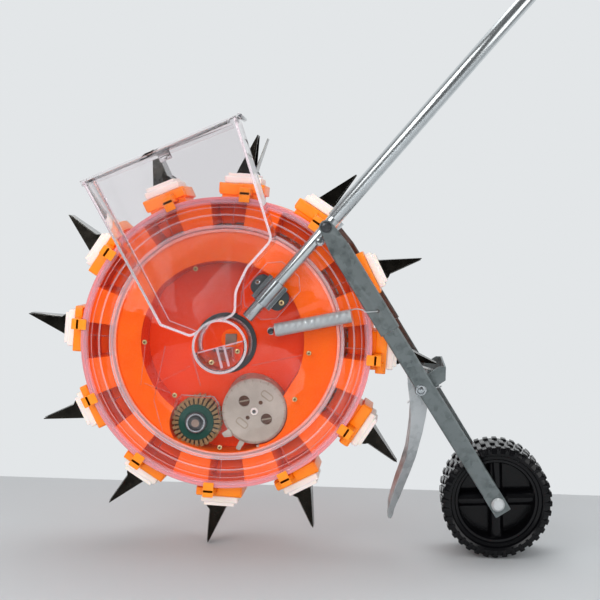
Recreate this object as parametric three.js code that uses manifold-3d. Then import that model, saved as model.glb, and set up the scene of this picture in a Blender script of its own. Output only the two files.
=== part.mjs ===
// Hand seeder with a turning drum of twelve duckbill openers, a clear side hopper,
// a push pole, a sprung rear press wheel and a pair of soil coverers.
// Millimetres, +Z up. The drum turns about the Y axis, the hopper is on the -Y side,
// and the machine travels towards -X. Lengths below are measured from the drum's axis
// and from the plane in which the duckbills stand, unless a comment says otherwise.
import * as THREE from 'three';
import { mergeVertices } from 'three/addons/utils/BufferGeometryUtils.js';
import Module from 'manifold-3d';

const degree = Math.PI / 180;

// Fits and habits shared by all pieces
const fit = {
  seat: 0.3, // gap between pieces that rest on each other
  run: 0.4, // radial gap where one round piece turns in another
  sink: 1, // how deep a fused feature is rooted in what carries it
  overrun: 7, // how far a cut runs past the faces it opens
  weld: 0.001, // points closer than this are one point
};

// Number of flats on each kind of round
const facets = { drum: 48, disc: 24, well: 16, tube: 12, boss: 8, pin: 6, wire: 5 };

// Drum: a round rim with twelve compartments, closed by a ring on each side
const drum = {
  halfWidth: 62.7, // bill plane to the rim's edge
  radius: 191.5,
  wall: 3.2,
  plate: 3, // thickness of the side rings and covers
  lip: 1.2, // raised edge on the side rings and covers
  lipWidth: 3.6,
  ringWidth: 41.5, // of the side rings, from the rim to the track on the fixed covers
  trackGap: 2.6, // track to the inside of the compartments
  blockDrop: 6, // the blocks between compartments lie this far behind the rim's edge
  pocketDepth: 80,
  pocketFacets: 2, // a compartment spans this many of the rim's facets
  ribWidth: 1.6,
  ribDepth: 2.4,
};

// Duckbill openers around the drum
const bill = {
  count: 12,
  phase: -2.4, // degrees from +X to the first seat
  lean: 2.75, // degrees by which a tip trails its seat
  length: 58.88, // pad to tip
  baseWidth: 24,
  tipWidth: 1,
  baseHalfDepth: 20,
  tipHalfDepth: 10,
  sheet: 1.5,
  throatTop: 5.5, // solid length left at the tip
};

// Seat of an opener, part of the drum's rim, and the nylon pad on it
const seat = {
  halfWidth: 30.5,
  neckHalfWidth: 26,
  neckHeight: 5.5, // rim to the underside of the seat's head
  headHeight: 14,
  halfDepth: 32,
  rootShare: 0.8, // of the rim's wall
  passageWidth: 16,
  passageHalfDepth: 14,
  tabWidth: 14,
  tabOffset: -9.5, // of the tab's middle from the seat's middle
  tabLap: 6.5, // reach of the tab over the clear ring, inwards of its edge
  tabThickness: 2.4,
};
const pad = { halfWidth: 25, halfDepth: 27, thickness: 9.5 };

// Sprung flap that closes an opener
const flap = {
  hingeRise: 5.2, // hinge axis above the pad
  hingeSet: 2.2, // hinge axis beyond the bill's leading edge
  pinRadius: 1.5,
  cheekMargin: 3.6, // cheek's edge to the hinge axis
  shoulder: 4, // height over which the cheeks narrow past the hinge
  sheetBase: 1.2,
  sheetTip: 1,
  baseSet: 3.5, // pad to the flap's lower edge
  tipSet: 2, // bill's tip to the flap's tip
  sideSet: 2.2, // flap's edge inside the bill's edge
};
// Degrees by which a flap stands open at rest, by the number of its seat
const flapsAjar = { 1: 10, 3: 12, 4: 14 };

// Seed pan inside the drum, with its seed wheel and brush
const pan = {
  trackGap: 2, // pan's rim to the track
  wall: 3,
  landDrop: 2.7, // the land lies this far behind the pan's edge
  floor: 20, // floor's front face from the bill plane
  landWidth: 40, // of the land round the recess
  recessShift: 6,
  screenNear: { x: 112, z: -10 }, // slanted screen beside the seed wheel
  screenFar: { x: 77.8, z: -67.6 },
  chuteFrom: -108, // degrees, opening in the pan's rim under the wheels
  chuteTo: -71,
  bossWall: 5,
  bossLength: 8,
};
const seedWheel = {
  rimGap: 3, // wheel to the inside of the pan's rim
  bearing: -67.1, // degrees from +X
  front: 58.5,
  back: 22,
  pockets: 8,
  pocketRadius: 4,
  pocketDepth: 4.5,
  windowRadius: 8,
  windowOrbit: 19,
  windowDepth: 3,
  windowTurn: 24, // degrees from +X to the first window
  spindleRadius: 5,
};
const brush = {
  bearing: -167.2, // degrees, seen from the seed wheel
  hubRadius: 23.5,
  radius: 33,
  front: 54,
  back: 26,
  columns: 50,
  rows: 6,
  washerRadius: 13.2,
  washer: 2,
  boltRadius: 9.6,
  boltHead: 4,
};
const gear = {
  trackGap: 1.5, // pitch circle of the ring's teeth to the track
  ringTeeth: 60,
  seedTeeth: 20,
  brushTeeth: 12,
  pressure: 20, // degrees
  addendumShare: 0.85, // of the module
  dedendumShare: 1.25,
  play: 0.25, // taken off each flank
  face: 46.5, // front of the ring's teeth from the bill plane
  width: 9.5,
  brushWidth: 9,
  brushGap: 1.5, // brush gear's back to the front of the ring's teeth
  ringWall: 3,
};
const scraper = { thickness: 4, front: 56, wheelGap: 0.8 };

// Fixed hub, covers and what closes the hub
const hub = {
  axleRadius: 8,
  headSide: 15,
  headThickness: 6,
  nutRadius: 12,
  nutThickness: 7,
  openingRadius: 36.5,
  sealInner: 33,
  sealOuter: 40,
  rearBossRadius: 30,
  rearBoss: 3,
};
const guard = { apothem: 44, wall: 2, depth: 2.7, sides: 8 };
const spout = {
  radius: 32.4,
  wall: 2.4,
  inside: 48, // how far forward of the bill plane the spout ends
  baffle: 2.5,
  chordAngle: 16.5, // degrees
  ribGap: 9,
  ribHeight: 3,
};

// Clear hopper beside the drum: corners of its outline and its faces
const hopper = {
  front: 126,
  back: 72,
  wall: 2.5,
  lobeRadius: 34.7,
  brow: { x: -179.6, z: 201.2 },
  crown: { x: 11, z: 290.4 },
  shoulder: { x: 63.4, z: 136.8 },
  hip: { x: 33, z: 100.7 },
  waist: { x: 19.5, z: 69.9 },
  neck: { x: 19.5, z: 41 },
  chin: { x: -37.2, z: 10.9 },
  elbow: { x: -76.2, z: 24 },
};
const lid = {
  thickness: 2.5,
  skirt: 7,
  skirtWall: 2,
  overhang: 3,
  hingeReach: 5, // hinge axis beyond the hopper's upper corner
  barrelRadius: 3,
  pinRadius: 1.5,
  ear: 3,
  earMargin: 4,
  catchWidth: 16,
  catchLength: 16,
  catchShare: 0.48, // of the lid's length, from its low end
};

// Tubes, clamps and handle
const tube = {
  sideOffset: 80, // of the lower tubes' axes from the bill plane
  start: { x: 28.2, z: 34.3 },
  angle: 50.7, // degrees
  radius: 8,
  wall: 1.4,
  nearLength: 232,
  farTail: 14, // far tube's length past the arm's pivot
};
const pole = {
  radius: 10,
  wall: 1.7,
  startSet: 1.6, // clear of the rear arm's eye
  straight: 300,
  bend: 60,
  gripHeight: 1000, // of the handlebar above the ground
  bendSteps: 2,
};
const bar = { radius: 11, wall: 1.5, halfLength: 240, socketRadius: 13, socketLength: 38 };
const grip = { radius: 16, wall: 4.7, length: 122, ringRadius: 18.5, ringLength: 6, endWall: 4 };
const clamp = {
  station: 43.5, // along the tube
  padLength: 29,
  padHalfSpan: 27,
  padRound: 10,
  padFace: 78,
  saddleLength: 37,
  saddleSheet: 2,
  flange: 5,
  bossLow: 8, // ends of the raised seat on the cover, along the tube
  bossHigh: 84,
  bossHalfWidth: 29,
  bossChamfer: 14,
  bossHeight: 3,
};

// Rear arms, press wheel and coverers
const arm = {
  pivotStation: 156.6, // along the tube
  pinRadius: 4,
  headRadius: 7,
  headThickness: 4,
  upperHalfWidth: 13.5,
  lowerHalfWidth: 11.5,
  seam: 158.7, // where the upper channel ends
  lap: 12, // of the lower bar inside the upper channel
  sheet: 2.5,
  flange: 8,
  flangeStart: 32,
  tongueEnd: 40,
  wheelOffset: 52, // of the arms' inner faces from the bill plane, at the wheel
  flatEnd: 18, // the flanges end this far before the wheel's axle
  footEnd: 14, // the arm ends this far past the axle
  stopReach: 12,
  stopRadius: 3,
  springReach: 127.6,
};
const press = {
  axleX: 364.6,
  radius: 74.4,
  halfWidth: 41.5,
  treadRadius: 70.4,
  lugs: 30,
  lugShare: 0.58, // of the pitch
  tyreInner: 58,
  webHalf: 2,
  spokes: 4,
  spokeHalfWidth: 8,
  spokeHalfDepth: 24,
  hubRadius: 13,
  axleRadius: 5,
  headRadius: 9,
  headThickness: 5,
};
const rearSpring = {
  anchor: { x: 59.4, z: 18 },
  wireRadius: 2.1,
  coilRadius: 6.4,
  turns: 14,
  pitch: 7.03,
  eyeTurn: 260, // degrees that the eye goes round its screw
  lead: 7, // anchor to the first turn
  postRadius: 6,
  postLength: 6,
  screwRadius: 2.6,
  screwHead: 6.5,
  screwHeadThickness: 3,
  stepsPerTurn: 8,
};
const coverer = {
  pivotReach: 245.3, // along the arm, from its pivot
  pivotSet: -6.2, // across the arm
  pinRadius: 4,
  flangeGap: 1.94, // bracket's cheeks to the arms' flanges, at the pivot
  cheekSheet: 2.5,
  cheekRound: 8,
  webX: 31, // web behind the pivot
  webZ: 21,
  webHalfHeight: 9,
  bladeSheet: 2.5,
  bladeLength: 182, // pivot to the tip
  nearPinSet: 22, // inner end of the pin that carries the torsion spring, from the bracket's cheek
  farPinSet: 9,
  collarRadius: 7.5,
  collar: 2,
};
// Stations down a coverer blade, in shares of its length: along X and Z from the pivot, inward
// shift and width; the twist is in degrees
const bladeShares = [
  { x: -0.0165, z: 0.0769, inward: 0, width: 0.1648, twist: 0 },
  { x: -0.011, z: -0.0769, inward: 0, width: 0.1374, twist: 0 },
  { x: -0.011, z: -0.1978, inward: 0.0071, width: 0.1099, twist: 0 },
  { x: -0.0549, z: -0.5165, inward: 0.0989, width: 0.1044, twist: 20 },
  { x: -0.1264, z: -0.7363, inward: 0.1593, width: 0.1154, twist: 34 },
  { x: -0.1923, z: -0.9341, inward: 0.2033, width: 0.0769, twist: 40 },
  { x: -0.1923, z: -1, inward: 0.2143, width: 0.0165, twist: 40 },
];
const torsion = { wireRadius: 1, coilRadius: 6.4, turns: 4, pitch: 2.8, leg: 26, stepsPerTurn: 8 };

// Finishes
const finish = {
  orange: new THREE.MeshStandardMaterial({ color: 0xff6a00, roughness: 0.4, metalness: 0 }),
  clear: new THREE.MeshStandardMaterial({
    color: 0xf3e6e6, roughness: 0.08, metalness: 0, transparent: true, opacity: 0.3,
  }),
  nylon: new THREE.MeshStandardMaterial({ color: 0xd8d0c8, roughness: 0.6, metalness: 0 }),
  steel: new THREE.MeshStandardMaterial({ color: 0x3c3a38, roughness: 0.35, metalness: 1 }),
  bright: new THREE.MeshStandardMaterial({ color: 0xc9ced2, roughness: 0.2, metalness: 1 }),
  galvanised: new THREE.MeshStandardMaterial({ color: 0x7c8484, roughness: 0.5, metalness: 1 }),
  rubber: new THREE.MeshStandardMaterial({ color: 0x2c2f31, roughness: 0.85, metalness: 0 }),
  black: new THREE.MeshStandardMaterial({ color: 0x0c0c0d, roughness: 0.35, metalness: 0 }),
  green: new THREE.MeshStandardMaterial({ color: 0x0f5a50, roughness: 0.5, metalness: 0 }),
};

const wasm = await Module();
wasm.setup();

// Turns a closed geometry into a solid whose faces point out
function solid(geometry) {
  const bare = new THREE.BufferGeometry();
  bare.setAttribute('position', geometry.getAttribute('position').clone());
  if (geometry.index) bare.setIndex(geometry.index.clone());
  const merged = mergeVertices(bare, fit.weld);
  const place = merged.getAttribute('position');
  const corner = (i) => new THREE.Vector3().fromBufferAttribute(place, i);
  const faces = [];
  let volume = 0;
  for (let i = 0; i < merged.index.count; i += 3) {
    const face = [0, 1, 2].map((j) => merged.index.getX(i + j));
    if (face[0] === face[1] || face[1] === face[2] || face[2] === face[0]) continue;
    faces.push(face);
    volume += corner(face[0]).dot(corner(face[1]).cross(corner(face[2])));
  }
  if (volume < 0) faces.forEach((face) => face.reverse());
  return new wasm.Manifold(new wasm.Mesh({
    numProp: 3,
    vertProperties: Float32Array.from(place.array),
    triVerts: Uint32Array.from(faces.flat()),
  }));
}

function toGeometry(body) {
  const mesh = body.getMesh();
  const geometry = new THREE.BufferGeometry();
  geometry.setAttribute('position', new THREE.BufferAttribute(mesh.vertProperties, mesh.numProp));
  geometry.setIndex(new THREE.BufferAttribute(mesh.triVerts, 1));
  geometry.computeVertexNormals();
  return geometry;
}

const join = (bodies) => bodies.reduce((sum, body) => sum.add(body));

// Mirrors a solid to the other side of the bill plane
function farSide(body) {
  return solid(toGeometry(body).scale(1, -1, 1));
}

// Outline points are [x, z] pairs
const polar = (radius, angle) => [radius * Math.cos(angle * degree), radius * Math.sin(angle * degree)];
const shifted = (points, x, z) => points.map(([px, pz]) => [px + x, pz + z]);

function turned(points, angle) {
  const c = Math.cos(angle * degree);
  const s = Math.sin(angle * degree);
  return points.map(([x, z]) => [x * c - z * s, x * s + z * c]);
}

function circle(radius, count, phase = 0, centre = [0, 0]) {
  const points = [];
  for (let i = 0; i < count; i += 1) points.push(polar(radius, phase + (360 * i) / count));
  return shifted(points, ...centre);
}

function rectangle(xLow, xHigh, zLow, zHigh) {
  return [[xLow, zLow], [xHigh, zLow], [xHigh, zHigh], [xLow, zHigh]];
}

// Outline lying in the XZ plane, given thickness from yLow to yHigh
function prism(outline, yLow, yHigh, holes = []) {
  const path = (points) => points.map(([x, z]) => new THREE.Vector2(x, z));
  const shape = new THREE.Shape(path(outline));
  shape.holes = holes.map((hole) => new THREE.Path(path(hole)));
  const geometry = new THREE.ExtrudeGeometry(shape, { depth: yHigh - yLow, bevelEnabled: false, steps: 1 });
  return solid(geometry.rotateX(Math.PI / 2).translate(0, yHigh, 0));
}

const disc = (radius, yLow, yHigh, count, centre) => prism(circle(radius, count, 0, centre), yLow, yHigh);

// Radius of a flat-sided hole in which a round of the same count can turn
const turning = (radius, gap, count) => (radius + gap) / Math.cos(Math.PI / count);

const ring = (outer, inner, yLow, yHigh, count, centre) => (
  prism(circle(outer, count, 0, centre), yLow, yHigh, [circle(inner, count, 0, centre)])
);

// Drum rounds have a corner at each edge of a compartment
const facetAngle = 360 / facets.drum;
const drumPhase = bill.phase + facetAngle / 2;
const drumCircle = (radius) => circle(radius, facets.drum, drumPhase);
const drumDisc = (radius, yLow, yHigh) => prism(drumCircle(radius), yLow, yHigh);
const drumBand = (outer, inner, yLow, yHigh) => prism(drumCircle(outer), yLow, yHigh, [drumCircle(inner)]);

function sector(inner, outer, angles) {
  const far = angles.map((angle) => polar(outer, angle));
  const near = angles.map((angle) => polar(inner, angle));
  return [...far, ...near.reverse()];
}

// Skins a run of closed sections, each a list of as many points, and caps both ends
function loft(sections) {
  const count = sections[0].length;
  const position = sections.flat().flatMap((point) => point.toArray());
  const index = [];
  for (let i = 0; i + 1 < sections.length; i += 1) {
    for (let j = 0; j < count; j += 1) {
      const a = i * count + j;
      const b = i * count + ((j + 1) % count);
      index.push(a, b, b + count, a, b + count, a + count);
    }
  }
  const cap = (section, first, flip) => {
    const normal = new THREE.Vector3();
    section.forEach((point, i) => normal.add(point.clone().cross(section[(i + 1) % count])));
    const across = section[1].clone().sub(section[0]).normalize();
    const up = normal.normalize().clone().cross(across);
    const flat = section.map((point) => new THREE.Vector2(point.dot(across), point.dot(up)));
    THREE.ShapeUtils.triangulateShape(flat, []).forEach(([a, b, c]) => {
      index.push(...(flip ? [first + a, first + c, first + b] : [first + a, first + b, first + c]));
    });
  };
  cap(sections[0], 0, true);
  cap(sections[sections.length - 1], (sections.length - 1) * count, false);
  const geometry = new THREE.BufferGeometry();
  geometry.setAttribute('position', new THREE.Float32BufferAttribute(position, 3));
  geometry.setIndex(index);
  return solid(geometry);
}

const vector = (x, y, z) => new THREE.Vector3(x, y, z);

// Solid through rectangles that stand across X; each is given by where it is, its reach
// along Z and its half depth along Y
function tower(levels) {
  return loft(levels.map(({ at, low, high, half }) => [
    vector(at, -half, low),
    vector(at, -half, high),
    vector(at, half, high),
    vector(at, half, low),
  ]));
}

// Round section swept along points, with frames carried along without twist
function sweep(points, radius, count) {
  const tangents = points.map((point, i) => {
    const before = points[Math.max(i - 1, 0)];
    const after = points[Math.min(i + 1, points.length - 1)];
    return after.clone().sub(before).normalize();
  });
  const seed = Math.abs(tangents[0].y) < 0.9 ? vector(0, 1, 0) : vector(1, 0, 0);
  let side = seed.clone().cross(tangents[0]).normalize();
  return loft(points.map((point, i) => {
    side = side.sub(tangents[i].clone().multiplyScalar(side.dot(tangents[i]))).normalize();
    const up = tangents[i].clone().cross(side);
    const section = [];
    for (let j = 0; j < count; j += 1) {
      const turn = (2 * Math.PI * j) / count;
      const offset = side.clone().multiplyScalar(Math.cos(turn) * radius);
      section.push(point.clone().add(offset).add(up.clone().multiplyScalar(Math.sin(turn) * radius)));
    }
    return section;
  }));
}

const rod = (from, to, radius, count) => sweep([from, to], radius, count);

// Hollow tube with open ends
function pipe(points, radius, wall, count) {
  const last = points.length - 1;
  const beyond = (end, next) => end.clone().add(end.clone().sub(next).setLength(fit.overrun));
  const bore = [beyond(points[0], points[1]), ...points.slice(1, last), beyond(points[last], points[last - 1])];
  return sweep(points, radius, count).subtract(sweep(bore, radius - wall, count));
}

const machine = new THREE.Group();

function addPiece(group, name, body, material) {
  const mesh = new THREE.Mesh(toGeometry(body), material);
  mesh.name = name;
  group.add(mesh);
  return mesh;
}

// Places that several pieces share
const plateInner = drum.halfWidth + fit.seat;
const plateOuter = plateInner + drum.plate;
const lipFace = plateOuter + drum.lip;
const drumTrack = drum.radius - drum.ringWidth;
const drumInner = drumTrack + drum.trackGap;
const panRadius = drumTrack - pan.trackGap;
const coverRadius = drumTrack * Math.cos(Math.PI / facets.drum) - fit.run;
const rimInner = drum.radius - drum.wall;
const pitchAngle = 360 / bill.count;
const seatAngle = (i) => bill.phase + pitchAngle * i;
const seatNeck = drum.radius + seat.neckHeight;
const seatTop = seatNeck + seat.headHeight;
const padBase = seatTop + fit.seat;
const padTop = padBase + pad.thickness;
const tipHeight = padTop + bill.length;
const tipRadius = tipHeight / Math.cos(bill.lean * degree);
const tipSide = -tipHeight * Math.tan(bill.lean * degree);
const tipAngles = Array.from({ length: bill.count }, (_, i) => seatAngle(i) - bill.lean);
const ground = Math.min(...tipAngles.map((angle) => polar(tipRadius, angle)[1]));
const gearModule = (2 * (drumTrack - gear.trackGap)) / gear.ringTeeth;
const pitchRadius = (teeth) => (gearModule * teeth) / 2;
const seedOrbit = pitchRadius(gear.ringTeeth) - pitchRadius(gear.seedTeeth);
const seedRadius = panRadius - pan.wall - seedOrbit - seedWheel.rimGap;
const seedCentre = polar(seedOrbit, seedWheel.bearing);
const brushOrbit = pitchRadius(gear.seedTeeth) + pitchRadius(gear.brushTeeth);
const brushCentre = shifted([polar(brushOrbit, brush.bearing)], ...seedCentre)[0];
const floorBack = pan.floor - pan.wall;
const brushGearBack = gear.face - gear.brushGap;
const brushGearFront = brushGearBack - gear.brushWidth;

// Drum rim with its compartments, seats and passages
function makeDrumRing() {
  const webBack = drum.pocketDepth - drum.halfWidth + drum.wall;
  const rim = drumBand(drum.radius, rimInner, -drum.halfWidth, drum.halfWidth);
  const web = drumBand(rimInner + fit.sink, drumInner, drum.blockDrop - drum.halfWidth, webBack);
  const added = [rim, web];
  const cuts = [];
  const seatOutline = [
    [drum.radius - drum.wall * seat.rootShare, -seat.neckHalfWidth],
    [seatNeck, -seat.neckHalfWidth],
    [seatNeck, -seat.halfWidth],
    [seatTop, -seat.halfWidth],
    [seatTop, seat.halfWidth],
    [seatNeck, seat.halfWidth],
    [seatNeck, seat.neckHalfWidth],
    [drum.radius - drum.wall * seat.rootShare, seat.neckHalfWidth],
  ];
  const tabLow = seat.tabOffset - seat.tabWidth / 2;
  const tabHigh = seat.tabOffset + seat.tabWidth / 2;
  const tabTop = seatTop - fit.sink;
  const tabInner = lipFace + fit.seat;
  const tabOuter = tabInner + seat.tabThickness;
  const passage = rectangle(
    rimInner - fit.overrun,
    seatTop + fit.overrun,
    -seat.passageWidth / 2,
    seat.passageWidth / 2,
  );
  for (let i = 0; i < bill.count; i += 1) {
    const angle = seatAngle(i);
    const start = angle - facetAngle / 2;
    const end = start + drum.pocketFacets * facetAngle;
    const steps = Array.from({ length: drum.pocketFacets + 1 }, (_, j) => start + facetAngle * j);
    const leg = rectangle(seatNeck, tabTop, tabLow, tabHigh);
    const hook = rectangle(drum.radius - seat.tabLap, tabTop, tabLow, tabHigh);
    added.push(prism(turned(seatOutline, angle), -seat.halfDepth, seat.halfDepth));
    added.push(prism(turned(leg, angle), -tabOuter, fit.sink - seat.halfDepth));
    added.push(prism(turned(hook, angle), -tabOuter, -tabInner));
    cuts.push(prism(turned(passage, angle), -seat.passageHalfDepth, seat.passageHalfDepth));
    const pocket = sector(drumInner - fit.overrun, rimInner, steps);
    cuts.push(prism(pocket, -drum.halfWidth - fit.overrun, drum.pocketDepth - drum.halfWidth));
    const inset = drum.wall / drumInner / degree;
    const hollowEnd = start + pitchAngle - inset;
    const middles = [];
    for (let a = end + facetAngle; a < start + pitchAngle; a += facetAngle) middles.push(a);
    const hollow = sector(drumInner + drum.wall, rimInner, [end + inset, ...middles, hollowEnd]);
    cuts.push(prism(hollow, drum.blockDrop + drum.wall - drum.halfWidth, webBack + fit.overrun));
  }
  return join(added).subtract(join(cuts));
}

// Flat side ring, running on a fixed cover; drawn on the hopper side
const makeSideRing = () => drumBand(drum.radius, drumTrack, -plateOuter, -plateInner);

// Clear ring with a raised edge, and a radial rib over each compartment on its back
function makeFrontRing() {
  const ribs = [drumBand(drum.radius, drum.radius - drum.lipWidth, -lipFace, fit.sink - plateOuter)];
  const ribEnd = drum.ribDepth - plateInner;
  const spoke = rectangle(
    drumInner + drum.ribWidth,
    rimInner - drum.ribWidth,
    -drum.ribWidth / 2,
    drum.ribWidth / 2,
  );
  for (let i = 0; i < bill.count; i += 1) {
    const middle = seatAngle(i) + (facetAngle * (drum.pocketFacets - 1)) / 2;
    ribs.push(prism(turned(spoke, middle), -plateInner - fit.sink, ribEnd));
  }
  return makeSideRing().add(join(ribs));
}

// Half the angle that a standard tooth of the given count spans at a radius, in degrees
function toothHalfAngle(teeth, radius) {
  const involute = (angle) => Math.tan(angle) - angle;
  const base = pitchRadius(teeth) * Math.cos(gear.pressure * degree);
  const reach = Math.acos(Math.min(1, base / radius));
  return (Math.PI / (2 * teeth) + involute(gear.pressure * degree) - involute(reach)) / degree;
}

// Closed outline of a gear. An internal gear's outline is that of its tooth spaces.
function gearOutline(teeth, phase, internal) {
  const pitch = pitchRadius(teeth);
  const outward = gearModule * (internal ? gear.dedendumShare : gear.addendumShare);
  const inward = gearModule * (internal ? gear.addendumShare : gear.dedendumShare);
  const play = (gear.play / pitch / degree) * (internal ? 1 : -1);
  const low = toothHalfAngle(teeth, pitch - inward) + play;
  const high = toothHalfAngle(teeth, pitch + outward) + play;
  const points = [];
  for (let i = 0; i < teeth; i += 1) {
    const middle = phase + (360 * i) / teeth;
    points.push(polar(pitch - inward, middle - low), polar(pitch + outward, middle - high));
    points.push(polar(pitch + outward, middle + high), polar(pitch - inward, middle + low));
  }
  return points;
}

// Rear ring with the internal gear that drives the seed wheel
function makeRearRing() {
  const outline = gearOutline(gear.ringTeeth, seedWheel.bearing, true);
  const sleeveOuter = pitchRadius(gear.ringTeeth) + gearModule * gear.dedendumShare + gear.ringWall;
  const toothed = prism(drumCircle(sleeveOuter), gear.face, plateInner - fit.seat, [outline]);
  const rootInner = sleeveOuter - gear.ringWall / 2;
  const root = drumBand(sleeveOuter, rootInner, gear.face + fit.sink, plateInner + fit.sink);
  return join([farSide(makeSideRing()), toothed, root]);
}

// Opener: nylon pad with a sheet-steel bill, drawn along +X with its seat's axis on X
const leadingEdge = (radius) => {
  const along = (radius - padTop) / (tipHeight - padTop);
  return -bill.baseWidth / 2 + along * (tipSide - bill.tipWidth / 2 + bill.baseWidth / 2);
};
const trailingEdge = (radius) => {
  const along = (radius - padTop) / (tipHeight - padTop);
  return bill.baseWidth / 2 + along * (tipSide + bill.tipWidth / 2 - bill.baseWidth / 2);
};
const billHalfDepth = (radius) => {
  const along = (radius - padTop) / (tipHeight - padTop);
  return bill.baseHalfDepth + along * (bill.tipHalfDepth - bill.baseHalfDepth);
};
const flapHinge = { r: padTop + flap.hingeRise, t: leadingEdge(padTop + flap.hingeRise) - flap.hingeSet };
const flapHalfDepth = (radius) => billHalfDepth(radius) - flap.sideSet;

function makeBill() {
  const root = padTop - fit.sink;
  const padBody = prism(rectangle(padBase, padTop, -pad.halfWidth, pad.halfWidth), -pad.halfDepth, pad.halfDepth);
  const cheek = flapHinge.t - flap.cheekMargin;
  const aboveHinge = flapHinge.r + flap.cheekMargin;
  const neck = aboveHinge + flap.shoulder;
  const outer = tower([
    { at: root, low: cheek, high: trailingEdge(root), half: billHalfDepth(root) },
    { at: aboveHinge, low: cheek, high: trailingEdge(aboveHinge), half: billHalfDepth(aboveHinge) },
    { at: neck, low: leadingEdge(neck), high: trailingEdge(neck), half: billHalfDepth(neck) },
    { at: tipHeight, low: leadingEdge(tipHeight), high: trailingEdge(tipHeight), half: billHalfDepth(tipHeight) },
  ]);
  const throat = tower([padTop, tipHeight - bill.throatTop].map((radius) => ({
    at: radius,
    low: leadingEdge(radius) - fit.overrun - flap.cheekMargin,
    high: trailingEdge(radius) - bill.sheet,
    half: billHalfDepth(radius) - bill.sheet,
  })));
  const passage = prism(
    rectangle(padBase - fit.overrun, padTop + fit.sink, -seat.passageWidth / 2, seat.passageWidth / 2),
    -seat.passageHalfDepth,
    seat.passageHalfDepth,
  );
  const pinHole = disc(
    flap.pinRadius + fit.seat,
    -pad.halfDepth,
    pad.halfDepth,
    facets.pin,
    [flapHinge.r, flapHinge.t],
  );
  return padBody.add(outer).subtract(join([throat, passage, pinHole]));
}

// Flap, drawn about its hinge axis
function makeFlap() {
  const inner = (radius) => leadingEdge(radius) - fit.seat;
  const sheet = tower([
    [padTop + flap.baseSet, flap.sheetBase],
    [tipHeight - flap.tipSet, flap.sheetTip],
  ].map(([radius, thickness]) => (
    { at: radius, low: inner(radius) - thickness, high: inner(radius), half: flapHalfDepth(radius) }
  )));
  const pinHalf = billHalfDepth(flapHinge.r);
  const pin = disc(flap.pinRadius, -pinHalf, pinHalf, facets.pin, [flapHinge.r, flapHinge.t]);
  return solid(toGeometry(sheet.add(pin)).translate(-flapHinge.r, 0, -flapHinge.t));
}

// Hollows of the seed pan, grown by a wall for the hollow behind them
function panTool(grow, yLow, yHigh) {
  const recess = disc(panRadius - pan.landWidth + grow, yLow, yHigh, facets.disc, [-pan.recessShift, 0]);
  const slope = [pan.screenFar.x - pan.screenNear.x, pan.screenFar.z - pan.screenNear.z];
  const steep = Math.atan2(slope[1], slope[0]) / degree;
  const reach = 2 * panRadius;
  const screen = shifted(
    turned(rectangle(-reach, reach, grow, reach), steep),
    pan.screenNear.x,
    pan.screenNear.z,
  );
  const sides = grow > 0 ? facets.well : facets.disc;
  const wheelWell = disc(seedRadius + fit.sink + grow, yLow, yHigh, sides, seedCentre);
  const brushWell = disc(brush.radius + fit.sink + grow, yLow, yHigh, sides, brushCentre);
  const open = grow / panRadius / degree;
  const angles = [pan.chuteFrom - open, (pan.chuteFrom + pan.chuteTo) / 2, pan.chuteTo + open];
  const chute = prism(sector(seedOrbit, panRadius + fit.overrun, angles), yLow, yHigh);
  const body = recess.subtract(prism(screen, yLow - fit.overrun, yHigh + fit.overrun));
  return join([body, wheelWell, brushWell, chute]);
}

function makePan() {
  const edge = -drum.halfWidth;
  const land = edge + pan.landDrop;
  const inner = panRadius - pan.wall;
  const whole = drumDisc(panRadius, edge, -floorBack);
  const front = panTool(0, land - fit.overrun, -pan.floor);
  const rimFront = drumDisc(inner, edge - fit.overrun, land);
  const behind = drumDisc(inner, land + pan.wall, fit.overrun - floorBack)
    .subtract(panTool(pan.wall, edge, fit.overrun));
  const bosses = [
    [hub.axleRadius, [0, 0]],
    [seedWheel.spindleRadius, seedCentre],
    [seedWheel.spindleRadius, brushCentre],
  ];
  const bossEnd = pan.bossLength - floorBack;
  const collars = bosses.map(([radius, centre]) => (
    disc(radius + pan.bossWall, -floorBack - fit.sink, bossEnd, facets.boss, centre)
  ));
  const bores = bosses.map(([radius, centre]) => (
    disc(turning(radius, fit.run, facets.boss), edge, bossEnd + fit.overrun, facets.boss, centre)
  ));
  const shell = whole.subtract(front).subtract(rimFront).subtract(behind);
  return shell.add(join(collars)).subtract(join(bores));
}

// Wheel with seed pockets round its rim and hollows in its face
function makeSeedWheel() {
  const body = ring(
    seedRadius,
    seedWheel.spindleRadius + fit.seat,
    -seedWheel.front,
    -seedWheel.back,
    facets.disc,
    seedCentre,
  );
  const middle = -(seedWheel.front + seedWheel.back) / 2;
  const cuts = [];
  const around = (radius, angle) => shifted([polar(radius, angle)], ...seedCentre)[0];
  for (let i = 0; i < seedWheel.pockets; i += 1) {
    const angle = (360 * (i + 1 / 2)) / seedWheel.pockets;
    const [x, z] = around(seedRadius - seedWheel.pocketDepth, angle);
    const [farX, farZ] = around(seedRadius + fit.overrun, angle);
    cuts.push(rod(vector(x, middle, z), vector(farX, middle, farZ), seedWheel.pocketRadius, facets.pin));
  }
  for (let i = 0; i < 4; i += 1) {
    const centre = around(seedWheel.windowOrbit, seedWheel.windowTurn + 90 * i);
    const from = -seedWheel.front - fit.overrun;
    const round = circle(seedWheel.windowRadius, facets.boss);
    const oval = i % 2 === 0 ? round : round.map(([x, z]) => [x, z / 2]);
    const placed = shifted(turned(oval, seedWheel.windowTurn), ...centre);
    cuts.push(prism(placed, from, seedWheel.windowDepth - seedWheel.front));
  }
  return body.subtract(join(cuts));
}

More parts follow.
